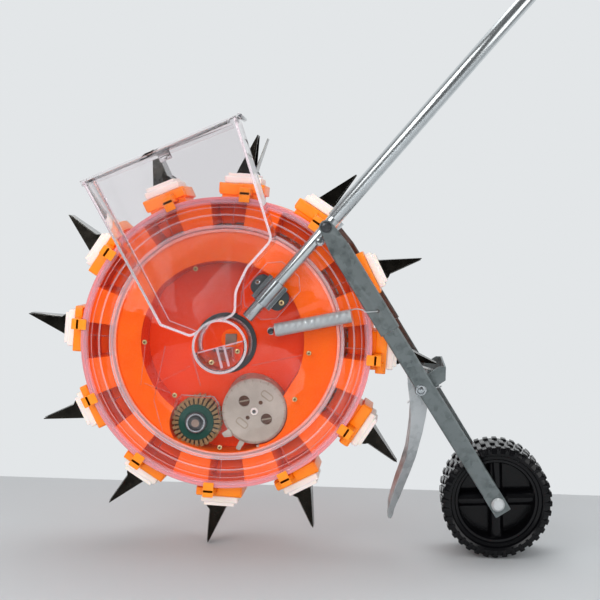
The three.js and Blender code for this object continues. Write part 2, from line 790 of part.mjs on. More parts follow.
// Gear on a spindle that runs from the pan to the rear cover
function makeGearSpindle(teeth, phase, centre, frontEnd, wheelFront, wheelBack) {
  const outline = shifted(gearOutline(teeth, phase, false), ...centre);
  const wheel = prism(outline, wheelFront, wheelBack);
  const spindle = disc(seedWheel.spindleRadius, -frontEnd, plateInner - fit.seat, facets.boss, centre);
  return wheel.add(spindle);
}

// Brush: each strand stands on one half of a facet of the hub, and tapers
function makeBrushWheel() {
  const { columns, rows } = brush;
  const width = (brush.front - brush.back) / rows;
  const index = [];
  const position = [];
  const put = (x, y, z) => position.push(x, y, z) / 3 - 1;
  const place = (radius, column, row) => {
    const [x, z] = polar(radius, (360 * (column + (row % 2) / 2)) / columns);
    return [x, -brush.front + width * row, z];
  };
  const grid = [];
  for (let row = 0; row <= rows; row += 1) {
    grid.push(Array.from({ length: columns }, (_, column) => put(...place(brush.hubRadius, column, row))));
  }
  const point = (i) => vector(position[3 * i], position[3 * i + 1], position[3 * i + 2]);
  const strand = (a, b, c) => {
    const foot = point(a).add(point(b)).add(point(c)).divideScalar(3);
    const stretch = brush.radius / Math.hypot(foot.x, foot.z);
    const tip = put(foot.x * stretch, foot.y, foot.z * stretch);
    index.push(a, b, tip, b, c, tip, c, a, tip);
  };
  for (let row = 0; row < rows; row += 1) {
    for (let column = 0; column < columns; column += 1) {
      const next = (column + 1) % columns;
      const near = grid[row];
      const far = grid[row + 1];
      if (row % 2 === 0) {
        strand(near[column], near[next], far[column]);
        index.push(near[next], far[next], far[column]);
      } else {
        strand(near[column], far[next], far[column]);
        index.push(near[column], near[next], far[next]);
      }
    }
  }
  for (const [row, flip] of [[0, true], [rows, false]]) {
    const middle = put(0, -brush.front + width * row, 0);
    grid[row].forEach((corner, column) => {
      const next = grid[row][(column + 1) % columns];
      index.push(...(flip ? [middle, next, corner] : [middle, corner, next]));
    });
  }
  const geometry = new THREE.BufferGeometry();
  geometry.setAttribute('position', new THREE.Float32BufferAttribute(position, 3));
  geometry.setIndex(index);
  const bore = disc(
    seedWheel.spindleRadius + fit.seat,
    -brush.front - fit.overrun,
    fit.overrun - brush.back,
    facets.boss,
  );
  return solid(toGeometry(solid(geometry).subtract(bore)).translate(brushCentre[0], 0, brushCentre[1]));
}

// Spindle of the brush, with a washer and a hexagon head in front of the brush
function makeBrushGear(phase) {
  const washerFace = brush.front + fit.seat;
  const headFace = washerFace + brush.washer;
  const end = headFace + brush.boltHead;
  const washer = disc(brush.washerRadius, -headFace, -washerFace, facets.boss, brushCentre);
  const head = disc(brush.boltRadius, -end, fit.sink - headFace, 6, brushCentre);
  const wheel = makeGearSpindle(
    gear.brushTeeth,
    phase,
    brushCentre,
    headFace,
    brushGearFront,
    brushGearBack,
  );
  return join([wheel, washer, head]);
}

// Scraper: stands against the chute's side and reaches up to the seed wheel
function makeScraper() {
  const aside = (pan.chuteTo - seedWheel.bearing) * degree;
  const wheelReach = Math.sqrt(
    (seedRadius + scraper.wheelGap) ** 2 - (seedOrbit * Math.sin(aside)) ** 2,
  );
  const top = seedOrbit * Math.cos(aside) + wheelReach;
  const blade = rectangle(top, panRadius - fit.seat, -fit.seat - scraper.thickness, -fit.seat);
  return prism(turned(blade, pan.chuteTo), -scraper.front, -pan.floor - fit.seat);
}

// Direction along the tubes, and places in the tubes' frame
const tubeWay = { x: Math.cos(tube.angle * degree), z: Math.sin(tube.angle * degree) };
const onTube = (station, across = 0) => [
  tube.start.x + tubeWay.x * station - tubeWay.z * across,
  tube.start.z + tubeWay.z * station + tubeWay.x * across,
];
const tubePoint = (station, y, across = 0) => {
  const [x, z] = onTube(station, across);
  return vector(x, y, z);
};

// Cover with the raised seat of its clamp
function makeCoverPlate() {
  const { bossLow, bossHigh, bossHalfWidth, bossChamfer } = clamp;
  const shoulder = bossHalfWidth - bossChamfer;
  const outline = [
    onTube(bossLow, -shoulder),
    onTube(bossLow + bossChamfer, -bossHalfWidth),
    onTube(bossHigh - bossChamfer, -bossHalfWidth),
    onTube(bossHigh, -shoulder),
    onTube(bossHigh, shoulder),
    onTube(bossHigh - bossChamfer, bossHalfWidth),
    onTube(bossLow + bossChamfer, bossHalfWidth),
    onTube(bossLow, shoulder),
  ];
  const plate = drumDisc(coverRadius, -plateOuter, -plateInner);
  return plate.add(prism(outline, -plateOuter - clamp.bossHeight, fit.sink - plateOuter));
}

// Post on the clear cover, with the screw that holds the rear spring's eye
function makeSpringPost() {
  const anchor = [rearSpring.anchor.x, rearSpring.anchor.z];
  const postEnd = plateOuter + rearSpring.postLength;
  const screwEnd = tube.sideOffset + 2 * rearSpring.wireRadius;
  const headEnd = screwEnd + rearSpring.screwHeadThickness;
  const post = disc(rearSpring.postRadius, -postEnd, fit.sink - plateOuter, facets.boss, anchor);
  const screw = disc(rearSpring.screwRadius, -screwEnd, fit.sink - postEnd, facets.pin, anchor);
  const head = disc(rearSpring.screwHead, -headEnd, fit.sink - screwEnd, facets.pin, anchor);
  return join([post, screw, head]);
}

// Clear front cover: hub opening, and an angled guard over the brush on its back
function makeFrontCover() {
  const opening = disc(hub.openingRadius, -plateOuter - fit.overrun, -plateInner + fit.overrun, facets.disc);
  const corner = 360 / guard.sides;
  const outer = guard.apothem / Math.cos((corner / 2) * degree);
  const inner = outer - guard.wall;
  const angles = [1, 2, 3, 4].map((i) => corner * (i - 1 / 2));
  const wall = prism(
    shifted(sector(inner, outer, angles), ...brushCentre),
    -plateInner - fit.sink,
    guard.depth - plateInner,
  );
  const lip = drumBand(coverRadius, coverRadius - drum.lipWidth, -lipFace, fit.sink - plateOuter);
  return join([makeCoverPlate(), lip, makeSpringPost()]).subtract(opening).add(wall);
}

function makeRearCover() {
  const centreBoss = disc(hub.rearBossRadius, plateOuter - fit.sink, plateOuter + hub.rearBoss, facets.disc);
  const bore = disc(hub.axleRadius + fit.seat, plateInner - fit.overrun, plateOuter + fit.overrun, facets.boss);
  const bossFront = gear.face + gear.width + fit.sink;
  const boss = turning(seedWheel.spindleRadius, fit.run, facets.boss);
  const bearings = [seedCentre, brushCentre].map((centre) => (
    ring(boss + pan.bossWall / 2, boss, bossFront, plateInner + fit.sink, facets.boss, centre)
  ));
  return join([farSide(makeCoverPlate()), centreBoss, ...bearings]).subtract(bore);
}

function makeHubAxle() {
  const half = hub.headSide / 2;
  const headBack = pan.floor + fit.seat;
  const nutFront = plateOuter + hub.rearBoss + fit.seat;
  const head = prism(rectangle(-half, half, -half, half), -headBack - hub.headThickness, -headBack);
  const shank = disc(hub.axleRadius, -headBack - fit.sink, nutFront + hub.nutThickness + fit.sink, facets.boss);
  const nut = disc(hub.nutRadius, nutFront, nutFront + hub.nutThickness, 6);
  return join([head, shank, nut]);
}

function makeSeal() {
  return ring(hub.sealOuter, hub.sealInner, fit.seat - hopper.back, -plateOuter - fit.seat, facets.disc);
}

// Spout through the seal, with the half-moon baffle and ribs that show in the hopper's lobe
function makeSpout() {
  const front = hopper.front - hopper.wall - fit.seat;
  const whole = ring(spout.radius, spout.radius - spout.wall, -front, -spout.inside, facets.disc);
  const wide = 2 * spout.radius;
  const upper = turned(rectangle(-wide, wide, 0, wide), spout.chordAngle);
  const mouth = prism(upper, -front - fit.overrun, -hopper.back + hopper.wall);
  const lower = turned(rectangle(-wide, wide, -wide, 0), spout.chordAngle);
  const baffle = disc(spout.radius - fit.sink, -front, spout.baffle - front, facets.disc)
    .intersect(prism(lower, -front - fit.overrun, fit.overrun - front));
  const ribs = [-1, 1].map((side) => {
    const middle = (side * spout.ribGap) / 2;
    const half = spout.baffle / 4;
    const line = turned(rectangle(middle - half, middle + half, spout.wall - spout.radius, 0), spout.chordAngle);
    return prism(line, spout.baffle - fit.sink - front, spout.baffle + spout.ribHeight - front);
  });
  return join([whole.subtract(mouth), baffle, ...ribs]);
}

// Moves each edge of an outline inwards by its own distance; edges start at their point
function inset(points, distances) {
  const count = points.length;
  const lines = points.map(([x, z], i) => {
    const [nextX, nextZ] = points[(i + 1) % count];
    const length = Math.hypot(nextX - x, nextZ - z);
    const way = [(nextX - x) / length, (nextZ - z) / length];
    return { x: x + way[1] * distances[i], z: z - way[0] * distances[i], way };
  });
  return lines.map((line, i) => {
    const before = lines[(i + count - 1) % count];
    const cross = before.way[0] * line.way[1] - before.way[1] * line.way[0];
    const along = ((line.x - before.x) * line.way[1] - (line.z - before.z) * line.way[0]) / cross;
    return [before.x + before.way[0] * along, before.z + before.way[1] * along];
  });
}

// Outline runs clockwise from the low corner of the mouth, so inwards is to the right
const hopperOutline = [
  hopper.brow, hopper.crown, hopper.shoulder, hopper.hip, hopper.waist, hopper.neck, hopper.chin, hopper.elbow,
].map(({ x, z }) => [x, z]);
const mouthLength = Math.hypot(hopper.crown.x - hopper.brow.x, hopper.crown.z - hopper.brow.z);
const mouthAngle = Math.atan2(hopper.crown.z - hopper.brow.z, hopper.crown.x - hopper.brow.x) / degree;

// Places along the mouth of the hopper and above it
const onMouth = (along, above) => shifted(turned([[along, above]], mouthAngle), hopper.brow.x, hopper.brow.z)[0];
const lidHinge = onMouth(mouthLength + lid.hingeReach, 0);

function makeHopper() {
  const shell = prism(hopperOutline, -hopper.front, -hopper.back)
    .add(disc(hopper.lobeRadius, -hopper.front, -hopper.back, facets.disc));
  const walls = hopperOutline.map((_, i) => (i === 0 ? -fit.overrun : hopper.wall));
  const low = hopper.wall - hopper.front;
  const high = -hopper.back - hopper.wall;
  const cavity = prism(inset(hopperOutline, walls), low, high)
    .add(disc(hopper.lobeRadius - hopper.wall / 2, low, high, facets.disc));
  const spoutHole = disc(spout.radius + fit.seat, low, fit.overrun - hopper.back, facets.disc);
  const hole = circle(lid.pinRadius + fit.seat, facets.pin, 0, lidHinge);
  const earOutline = [
    onMouth(mouthLength - lid.earMargin, -lid.earMargin * 2),
    onMouth(mouthLength + lid.hingeReach, -lid.earMargin),
    onMouth(mouthLength + lid.hingeReach + lid.earMargin, 0),
    onMouth(mouthLength + lid.hingeReach, lid.earMargin),
    onMouth(mouthLength + lid.hingeReach - lid.earMargin, 0),
    onMouth(mouthLength - lid.earMargin, -lid.earMargin),
  ];
  const ears = [-hopper.front + lid.ear, -hopper.back].map((y) => prism(earOutline, y - lid.ear, y, [hole]));
  return join([shell.subtract(cavity).subtract(spoutHole), ...ears]);
}

// Lid with a skirt on three sides, drawn about its hinge axis
function makeLid() {
  const top = fit.seat + lid.thickness;
  const line = (from, to, low, high) => (
    [onMouth(from, low), onMouth(to, low), onMouth(to, high), onMouth(from, high)]
  );
  const outFront = hopper.front + fit.seat + lid.skirtWall;
  const outBack = hopper.back - fit.seat - lid.skirtWall;
  const end = mouthLength + fit.seat;
  const start = -fit.seat - lid.skirtWall;
  const outer = prism(line(start, end, top - lid.skirt, top), -outFront, -outBack);
  const hollow = prism(
    line(-fit.seat, end + fit.overrun, -fit.overrun - lid.skirt, fit.seat),
    -hopper.front - fit.seat,
    fit.seat - hopper.back,
  );
  const earSpace = lid.ear + 2 * fit.seat;
  const nearSlot = fit.seat + lid.ear - hopper.front;
  const knuckleEnd = lid.barrelRadius + lid.hingeReach + mouthLength;
  const notch = (low, high) => prism(
    line(mouthLength - 3 * lid.earMargin, knuckleEnd + fit.overrun, -lid.skirt - fit.overrun, top + fit.overrun),
    low,
    high,
  );
  const knuckle = disc(
    lid.barrelRadius,
    nearSlot + fit.seat,
    -hopper.back - earSpace,
    facets.pin,
    lidHinge,
  );
  const bridge = prism(
    line(end - fit.sink, mouthLength + lid.hingeReach, fit.seat, top),
    nearSlot + fit.seat,
    -hopper.back - earSpace,
  );
  const pin = disc(lid.pinRadius, -hopper.front, -hopper.back, facets.pin, lidHinge);
  const catchStart = lid.catchShare * mouthLength;
  const tongue = prism(
    line(catchStart, catchStart + lid.catchWidth, -lid.catchLength, fit.seat),
    -outFront,
    lid.skirtWall - outFront,
  );
  const shell = outer.subtract(hollow)
    .subtract(notch(-outFront - fit.overrun, nearSlot))
    .subtract(notch(-hopper.back - earSpace, fit.overrun - outBack));
  const body = join([shell, knuckle, bridge, pin, tongue]);
  return solid(toGeometry(body).translate(-lidHinge[0], 0, -lidHinge[1]));
}

// Direction along the rear arms, from their pivot to the wheel's axle
const armPivot = onTube(arm.pivotStation);
const axlePlace = [press.axleX, ground + press.radius];
const armLength = Math.hypot(axlePlace[0] - armPivot[0], axlePlace[1] - armPivot[1]);
const armWay = [(axlePlace[0] - armPivot[0]) / armLength, (axlePlace[1] - armPivot[1]) / armLength];
const onArm = (along, across = 0) => [
  armPivot[0] + armWay[0] * along - armWay[1] * across,
  armPivot[1] + armWay[1] * along + armWay[0] * across,
];
const armInner = tube.sideOffset + tube.radius + fit.seat;
const armFace = (along) => {
  const run = armLength - arm.flatEnd - arm.seam;
  const share = Math.min(1, Math.max(0, (along - arm.seam) / run));
  return armInner + share * (arm.wheelOffset - armInner);
};
const stopPlace = onArm(arm.stopReach, -arm.upperHalfWidth - fit.seat - arm.stopRadius);
const covererPivot = onArm(coverer.pivotReach, coverer.pivotSet);
const cheekOut = armFace(coverer.pivotReach) - arm.flange - coverer.flangeGap;
const nearPin = cheekOut - coverer.nearPinSet;
const farPin = cheekOut - coverer.farPinSet;

// Lower tube with the arm's pivot bolt and stop bolt; drawn on the hopper side
function makeLowerTube(length) {
  const side = tube.sideOffset;
  const body = pipe([tubePoint(0, -side), tubePoint(length, -side)], tube.radius, tube.wall, facets.tube);
  const headFace = armInner + arm.sheet + fit.seat;
  const headOuter = headFace + arm.headThickness;
  const bolt = disc(arm.pinRadius, fit.sink - headFace - fit.sink * 2, -side, facets.boss, armPivot);
  const head = disc(arm.headRadius, -headOuter, -headFace, 6, armPivot);
  const stop = disc(arm.stopRadius, -armInner - arm.sheet, -side, facets.pin, stopPlace);
  return join([body, bolt, head, stop]);
}

// Points round an arm's channel section at a distance from the pivot
function armSection(along, halfWidth) {
  const inner = armFace(along);
  const outer = inner + arm.sheet;
  const edge = inner - arm.flange;
  const t = arm.sheet;
  const profile = [
    [-halfWidth, outer], [halfWidth, outer], [halfWidth, edge], [halfWidth - t, edge],
    [halfWidth - t, inner], [t - halfWidth, inner], [t - halfWidth, edge], [-halfWidth, edge],
  ];
  return profile.map(([across, y]) => {
    const [x, z] = onArm(along, across);
    return vector(x, -y, z);
  });
}

function makeArm(pinEnd) {
  const wide = arm.upperHalfWidth;
  const narrow = arm.lowerHalfWidth;
  const eye = circle(wide, facets.tube, 0, armPivot);
  const tongue = [onArm(0, -wide), onArm(arm.tongueEnd, -wide), onArm(arm.tongueEnd, wide), onArm(0, wide)];
  const yOuter = -armInner - arm.sheet;
  const upper = loft([armSection(arm.flangeStart, wide), armSection(arm.seam, wide)]);
  const foot = armLength - arm.flatEnd;
  const lower = loft([
    armSection(arm.seam - arm.lap, narrow),
    armSection(arm.seam, narrow),
    armSection(foot, narrow),
  ]);
  const footEnd = armLength + arm.footEnd;
  const lowerTongue = [onArm(foot - fit.sink, -narrow), onArm(footEnd, -narrow)];
  lowerTongue.push(onArm(footEnd, narrow), onArm(foot - fit.sink, narrow));
  const yFoot = -arm.wheelOffset - arm.sheet;
  const bore = (place, radius) => disc(radius, -2 * tube.sideOffset, fit.overrun - arm.wheelOffset / 2, facets.boss, place);
  const holes = [
    bore(armPivot, turning(arm.pinRadius, fit.seat, facets.boss)),
    bore(axlePlace, press.axleRadius + fit.seat),
    bore(onArm(arm.springReach), turning(rearSpring.wireRadius, fit.seat, facets.boss)),
  ];
  const pinOuter = armFace(coverer.pivotReach) + arm.sheet;
  const pin = disc(coverer.pinRadius, -pinOuter - arm.sheet, -pinEnd, facets.boss, covererPivot);
  const collar = disc(coverer.collarRadius, -pinEnd - coverer.collar, -pinEnd, facets.boss, covererPivot);
  const plates = join([
    prism(eye, yOuter, -armInner),
    prism(tongue, yOuter, -armInner),
    upper,
    lower,
    prism(lowerTongue, yFoot, -arm.wheelOffset),
  ]);
  return join([plates.subtract(join(holes)), pin, collar]);
}

// Cranked pole: straight beside the machine, then bent inwards to the handlebar
const poleStart = arm.pivotStation + arm.upperHalfWidth + pole.startSet;
const barHeight = ground + pole.gripHeight;
const barStation = (barHeight - tube.start.z) / tubeWay.z;
const barPlace = tubePoint(barStation, 0);
const poleKnee = tubePoint(poleStart + pole.straight, -tube.sideOffset);
const poleWay = barPlace.clone().sub(poleKnee).normalize();

function makePole() {
  const before = tubePoint(poleStart + pole.straight - pole.bend / 2, -tube.sideOffset);
  const after = poleKnee.clone().add(poleWay.clone().multiplyScalar(pole.bend / 2));
  const knee = new THREE.QuadraticBezierCurve3(before, poleKnee, after).getPoints(pole.bendSteps);
  const top = barPlace.clone().sub(poleWay.clone().multiplyScalar(bar.radius + fit.seat + fit.sink));
  return pipe([tubePoint(poleStart, -tube.sideOffset), ...knee, top], pole.radius, pole.wall, facets.tube);
}

// Handlebar with a socket for the pole
function makeHandlebar() {
  const ends = [-bar.halfLength, bar.halfLength].map((y) => vector(barPlace.x, y, barPlace.z));
  const outer = rod(ends[0], ends[1], bar.radius, facets.tube);
  const along = (distance) => barPlace.clone().sub(poleWay.clone().multiplyScalar(distance));
  const socket = rod(along(bar.radius / 2), along(bar.radius + bar.socketLength), bar.socketRadius, facets.tube);
  const hole = rod(
    along(bar.radius + fit.sink),
    along(bar.radius + bar.socketLength + fit.overrun),
    pole.radius + fit.seat,
    facets.tube,
  );
  const past = vector(0, fit.overrun, 0);
  const bore = rod(ends[0].clone().sub(past), ends[1].clone().add(past), bar.radius - bar.wall, facets.tube);
  return outer.add(socket).subtract(hole).subtract(bore);
}

// Grip: a closed sleeve with a flange at its inner end
function makeGrip() {
  const inner = bar.halfLength + grip.endWall - grip.length;
  const at = [barPlace.x, barPlace.z];
  const sleeve = disc(grip.radius, inner, bar.halfLength + grip.endWall, facets.tube, at);
  const flange = disc(grip.ringRadius, inner, inner + grip.ringLength, facets.tube, at);
  const bore = disc(bar.radius + fit.seat, inner - fit.overrun, bar.halfLength + fit.seat, facets.tube, at);
  return sleeve.add(flange).subtract(bore);
}

// Rubber clamp pad with a groove for the tube
function makeClampPad() {
  const round = [];
  const { padHalfSpan, padLength, padRound, station } = clamp;
  const across = padHalfSpan - padRound;
  const along = padLength / 2 - padRound;
  const corners = [[along, across, 0], [-along, across, 90], [-along, -across, 180], [along, -across, 270]];
  corners.forEach(([s, v, from]) => {
    for (let i = 0; i <= 3; i += 1) {
      const [ds, dv] = polar(padRound, from + 30 * i);
      round.push(onTube(station + s + ds, v + dv));
    }
  });
  const face = plateOuter + clamp.bossHeight + fit.seat;
  const groove = rod(
    tubePoint(station - padLength, -tube.sideOffset),
    tubePoint(station + padLength, -tube.sideOffset),
    tube.radius + fit.seat,
    facets.tube,
  );
  return prism(round, -clamp.padFace, -face).subtract(groove);
}

// Steel saddle bent over the tube, with a flange on each side
function makeSaddle() {
  const { station, saddleLength, saddleSheet, flange, padFace } = clamp;
  const from = station - saddleLength / 2;
  const to = station + saddleLength / 2;
  const inner = tube.radius + fit.seat;
  const outer = inner + saddleSheet;
  const seatFace = padFace + fit.seat;
  const span = (s, radius) => rod(
    tubePoint(from - s, -tube.sideOffset),
    tubePoint(to + s, -tube.sideOffset),
    radius,
    facets.tube,
  );
  const strip = (low, high) => (
    [onTube(from, low), onTube(to, low), onTube(to, high), onTube(from, high)]
  );
  const below = prism(
    [[-1, -1], [1, -1], [1, 1], [-1, 1]].map(([s, v]) => (
      onTube(station + s * saddleLength, v * 2 * outer)
    )),
    -seatFace,
    -tube.sideOffset + 2 * outer,
  );
  const arch = span(0, outer).subtract(below);
  const wings = prism(strip(-outer - flange, outer + flange), -seatFace - saddleSheet, -seatFace);
  return arch.add(wings).subtract(span(fit.overrun, inner));
}

// Least gap between the turns of a coil, measured on its centre line
function leastGap(points, wireRadius, stepsPerTurn) {
  let least = Infinity;
  points.forEach((point, i) => {
    for (let j = i + Math.round(stepsPerTurn * 0.75); j < points.length; j += 1) {
      least = Math.min(least, point.distanceTo(points[j]) - 2 * wireRadius);
    }
  });
  return least;
}

// Rear extension spring: an eye round the cover's screw, close turns, and a hook in the arm's hole
function makeRearSpring() {
  const { anchor, wireRadius, coilRadius, turns, pitch, eyeTurn, lead, stepsPerTurn } = rearSpring;
  const eyeStep = eyeTurn / (stepsPerTurn - 1);
  const eyeRadius = (rearSpring.screwRadius + wireRadius + fit.run) / Math.cos((eyeStep / 2) * degree);
  const hookHole = onArm(arm.springReach);
  const start = vector(anchor.x, -tube.sideOffset, anchor.z);
  const way = vector(hookHole[0] - anchor.x, 0, hookHole[1] - anchor.z).normalize();
  const up = vector(-way.z, 0, way.x);
  const out = vector(0, -1, 0);
  const at = (along, high, outward) => start.clone()
    .add(way.clone().multiplyScalar(along))
    .add(up.clone().multiplyScalar(high))
    .add(out.clone().multiplyScalar(outward));
  const points = [];
  for (let i = 0; i <= stepsPerTurn - 1; i += 1) {
    const turn = (eyeTurn / 2 - 180 - eyeStep * i) * degree;
    points.push(at(eyeRadius * Math.cos(turn), eyeRadius * Math.sin(turn), 0));
  }
  const coilFrom = eyeRadius + lead;
  const steps = turns * stepsPerTurn;
  const coil = [];
  for (let i = 0; i <= steps; i += 1) {
    const turn = (2 * Math.PI * i) / stepsPerTurn + Math.PI / 2;
    const along = coilFrom + (pitch * i) / stepsPerTurn;
    coil.push(at(along, coilRadius * Math.sin(turn), coilRadius * Math.cos(turn)));
  }
  points.push(...coil);
  const reach = Math.hypot(hookHole[0] - anchor.x, hookHole[1] - anchor.z);
  const hookOut = armInner - tube.sideOffset;
  const dip = hookOut - arm.flange - 2 * wireRadius;
  points.push(at(coilFrom + pitch * turns + lead, coilRadius, dip));
  points.push(at(reach - 2 * wireRadius, 0, dip));
  points.push(at(reach, 0, dip + 2 * wireRadius));
  points.push(at(reach, 0, hookOut + arm.sheet + wireRadius));
  console.log('rear spring, least gap in mm:', leastGap(coil, wireRadius, stepsPerTurn).toFixed(2));
  return sweep(points, wireRadius, facets.wire);
}

// Press wheel: lugged tread, web, spokes and hub
function makePressWheel() {
  const outline = [];
  for (let i = 0; i < press.lugs; i += 1) {
    const middle = (360 * i) / press.lugs;
    const half = (180 / press.lugs) * press.lugShare;
    outline.push(polar(press.treadRadius, middle - half), polar(press.radius, middle - half));
    outline.push(polar(press.radius, middle + half), polar(press.treadRadius, middle + half));
  }
  const full = press.halfWidth;
  const tread = prism(outline, -full, full);
  const well = (low, high) => disc(press.tyreInner, low, high, facets.disc);
  const wells = well(-full - fit.overrun, -press.webHalf).add(well(press.webHalf, full + fit.overrun));
  const hubHalf = arm.wheelOffset - fit.seat;
  const parts = [tread.subtract(wells)];
  for (let i = 0; i < press.spokes; i += 1) {
    const spoke = rectangle(0, press.tyreInner + fit.sink, -press.spokeHalfWidth, press.spokeHalfWidth);
    const angle = (360 * i) / press.spokes;
    parts.push(prism(turned(spoke, angle), -press.spokeHalfDepth, press.spokeHalfDepth));
  }
  parts.push(disc(press.hubRadius, -hubHalf, hubHalf, facets.tube));
  const boreRadius = turning(press.axleRadius, fit.run, facets.boss);
  const bore = disc(boreRadius, -hubHalf - fit.overrun, hubHalf + fit.overrun, facets.boss);
  return join(parts).subtract(bore);
}

function makeWheelAxle() {
  const face = arm.wheelOffset + arm.sheet + fit.seat;
  const outer = face + press.headThickness;
  const shank = disc(press.axleRadius, -face - fit.sink, face + fit.sink, facets.boss);
  const heads = [[-outer, -face], [face, outer]].map(([low, high]) => disc(press.headRadius, low, high, 6));
  return join([shank, ...heads]);
}

// Bracket of the coverers: two cheeks on the pivot pins and a web behind the drum's reach
function makeCovererBracket() {
  const { cheekSheet, cheekRound, webX, webZ, webHalfHeight } = coverer;
  const [px, pz] = covererPivot;
  const at = (x, z) => [px + x, pz + z];
  const cheekOutline = [
    at(-cheekRound, -cheekRound),
    at(cheekRound / 2, -cheekRound),
    at(webX + cheekSheet / 2, webZ - webHalfHeight),
    at(webX + cheekSheet / 2, webZ + webHalfHeight),
    at(webX - cheekRound, webZ + webHalfHeight),
    at(-cheekRound, cheekRound),
  ];
  const holeRadius = turning(coverer.pinRadius, fit.seat, facets.boss);
  const hole = circle(holeRadius, facets.boss, 0, covererPivot);
  const cheek = prism(cheekOutline, -cheekOut, cheekSheet - cheekOut, [hole]);
  const web = prism(
    shifted(
      rectangle(-cheekSheet / 2, cheekSheet / 2, -webHalfHeight, webHalfHeight),
      ...at(webX, webZ),
    ),
    -cheekOut + fit.sink,
    cheekOut - fit.sink,
  );
  return join([cheek, farSide(cheek), web]);
}

// Coverer blade: flat at its top, bent inwards and twisted towards its tip
function makeBlade() {
  const outerFace = cheekOut - coverer.cheekSheet - fit.seat;
  const half = coverer.bladeSheet / 2;
  const [px, pz] = covererPivot;
  const length = coverer.bladeLength;
  const sections = bladeShares.map(({ x, z, inward, width, twist }) => {
    const middle = vector(px + x * length, inward * length + half - outerFace, pz + z * length);
    const across = vector(Math.cos(twist * degree), Math.sin(twist * degree), 0);
    const through = vector(-across.y, across.x, 0);
    return [[-1, -1], [1, -1], [1, 1], [-1, 1]].map(([a, t]) => middle.clone()
      .add(across.clone().multiplyScalar((a * width * length) / 2))
      .add(through.clone().multiplyScalar(t * half)));
  });
  const holeRadius = turning(coverer.pinRadius, fit.seat, facets.boss);
  const hole = disc(holeRadius, -cheekOut, 0, facets.boss, covererPivot);
  return loft(sections).subtract(hole);
}

// Torsion spring on the near pivot pin, with a leg to the bracket and a leg to the arm
function makeTorsionSpring() {
  const { wireRadius, coilRadius, turns, pitch, leg, stepsPerTurn } = torsion;
  const [px, pz] = covererPivot;
  const first = nearPin + coverer.collar + fit.seat + wireRadius;
  const coil = [];
  for (let i = 0; i <= turns * stepsPerTurn; i += 1) {
    const turn = 360 * (i / stepsPerTurn);
    const [x, z] = polar(coilRadius, turn - 60);
    coil.push(vector(px + x, -first - (pitch * i) / stepsPerTurn, pz + z));
  }
  console.log('torsion spring, least gap in mm:', leastGap(coil, wireRadius, stepsPerTurn).toFixed(2));
  const tail = (point, before) => point.clone().add(point.clone().sub(before).setLength(leg));
  const last = coil.length - 1;
  return sweep([tail(coil[0], coil[1]), ...coil, tail(coil[last], coil[last - 1])], wireRadius, facets.wire);
}

// Fixed frame
addPiece(machine, 'seed_pan', makePan(), finish.orange);
addPiece(machine, 'seed_scraper', makeScraper(), finish.nylon);
addPiece(machine, 'front_cover', makeFrontCover(), finish.clear);
addPiece(machine, 'rear_cover', makeRearCover(), finish.orange);
addPiece(machine, 'hub_axle', makeHubAxle(), finish.bright);
addPiece(machine, 'hub_seal', makeSeal(), finish.rubber);
addPiece(machine, 'hopper', makeHopper(), finish.clear);
addPiece(machine, 'outlet_spout', makeSpout(), finish.clear);
const farLength = arm.pivotStation + tube.farTail;
addPiece(machine, 'lower_tube_near', makeLowerTube(tube.nearLength), finish.bright);
addPiece(machine, 'lower_tube_far', farSide(makeLowerTube(farLength)), finish.bright);
addPiece(machine, 'upper_pole', makePole(), finish.bright);
addPiece(machine, 'handlebar', makeHandlebar(), finish.bright);
const gripBody = makeGrip();
addPiece(machine, 'grip_far', gripBody, finish.rubber);
addPiece(machine, 'grip_near', farSide(gripBody), finish.rubber);
const padBody = makeClampPad();
addPiece(machine, 'clamp_pad_near', padBody, finish.rubber);
addPiece(machine, 'clamp_pad_far', farSide(padBody), finish.rubber);
const saddleBody = makeSaddle();
addPiece(machine, 'saddle_near', saddleBody, finish.bright);
addPiece(machine, 'saddle_far', farSide(saddleBody), finish.bright);
addPiece(machine, 'rear_spring', makeRearSpring(), finish.bright);

// Lid, placed at its hinge
const lidMesh = addPiece(machine, 'hopper_lid', makeLid(), finish.clear);
lidMesh.position.set(lidHinge[0], 0, lidHinge[1]);

// Turning drum with its openers
addPiece(machine, 'drum_ring', makeDrumRing(), finish.orange);
addPiece(machine, 'front_ring', makeFrontRing(), finish.clear);
addPiece(machine, 'rear_ring', makeRearRing(), finish.orange);
const billBody = makeBill();
const flapBody = makeFlap();
for (let i = 0; i < bill.count; i += 1) {
  const opener = new THREE.Group();
  opener.rotation.y = -seatAngle(i) * degree;
  machine.add(opener);
  const number = String(i + 1).padStart(2, '0');
  addPiece(opener, `bill_${number}`, billBody, finish.steel);
  const flapMesh = addPiece(opener, `flap_${number}`, flapBody, finish.bright);
  flapMesh.position.set(flapHinge.r, 0, flapHinge.t);
  flapMesh.rotation.y = (flapsAjar[i + 1] ?? 0) * degree;
}

// Seed wheel and brush with their gears in mesh: a tooth of one meets a space of the other
const seedPhase = seedWheel.bearing;
const seedPitch = 360 / gear.seedTeeth;
const towardBrush = brush.bearing;
const seedPart = (((towardBrush - seedPhase) / seedPitch) % 1 + 1) % 1;
const brushPitch = 360 / gear.brushTeeth;
const brushPhase = towardBrush + 180 + (seedPart + 1 / 2) * brushPitch;
addPiece(machine, 'seed_wheel', makeSeedWheel(), finish.nylon);
const seedGearBody = makeGearSpindle(
  gear.seedTeeth,
  seedPhase,
  seedCentre,
  seedWheel.front,
  brushGearFront,
  gear.face + gear.width,
);
addPiece(machine, 'seed_gear', seedGearBody, finish.nylon);
addPiece(machine, 'brush_wheel', makeBrushWheel(), finish.green);
addPiece(machine, 'brush_gear', makeBrushGear(brushPhase), finish.bright);

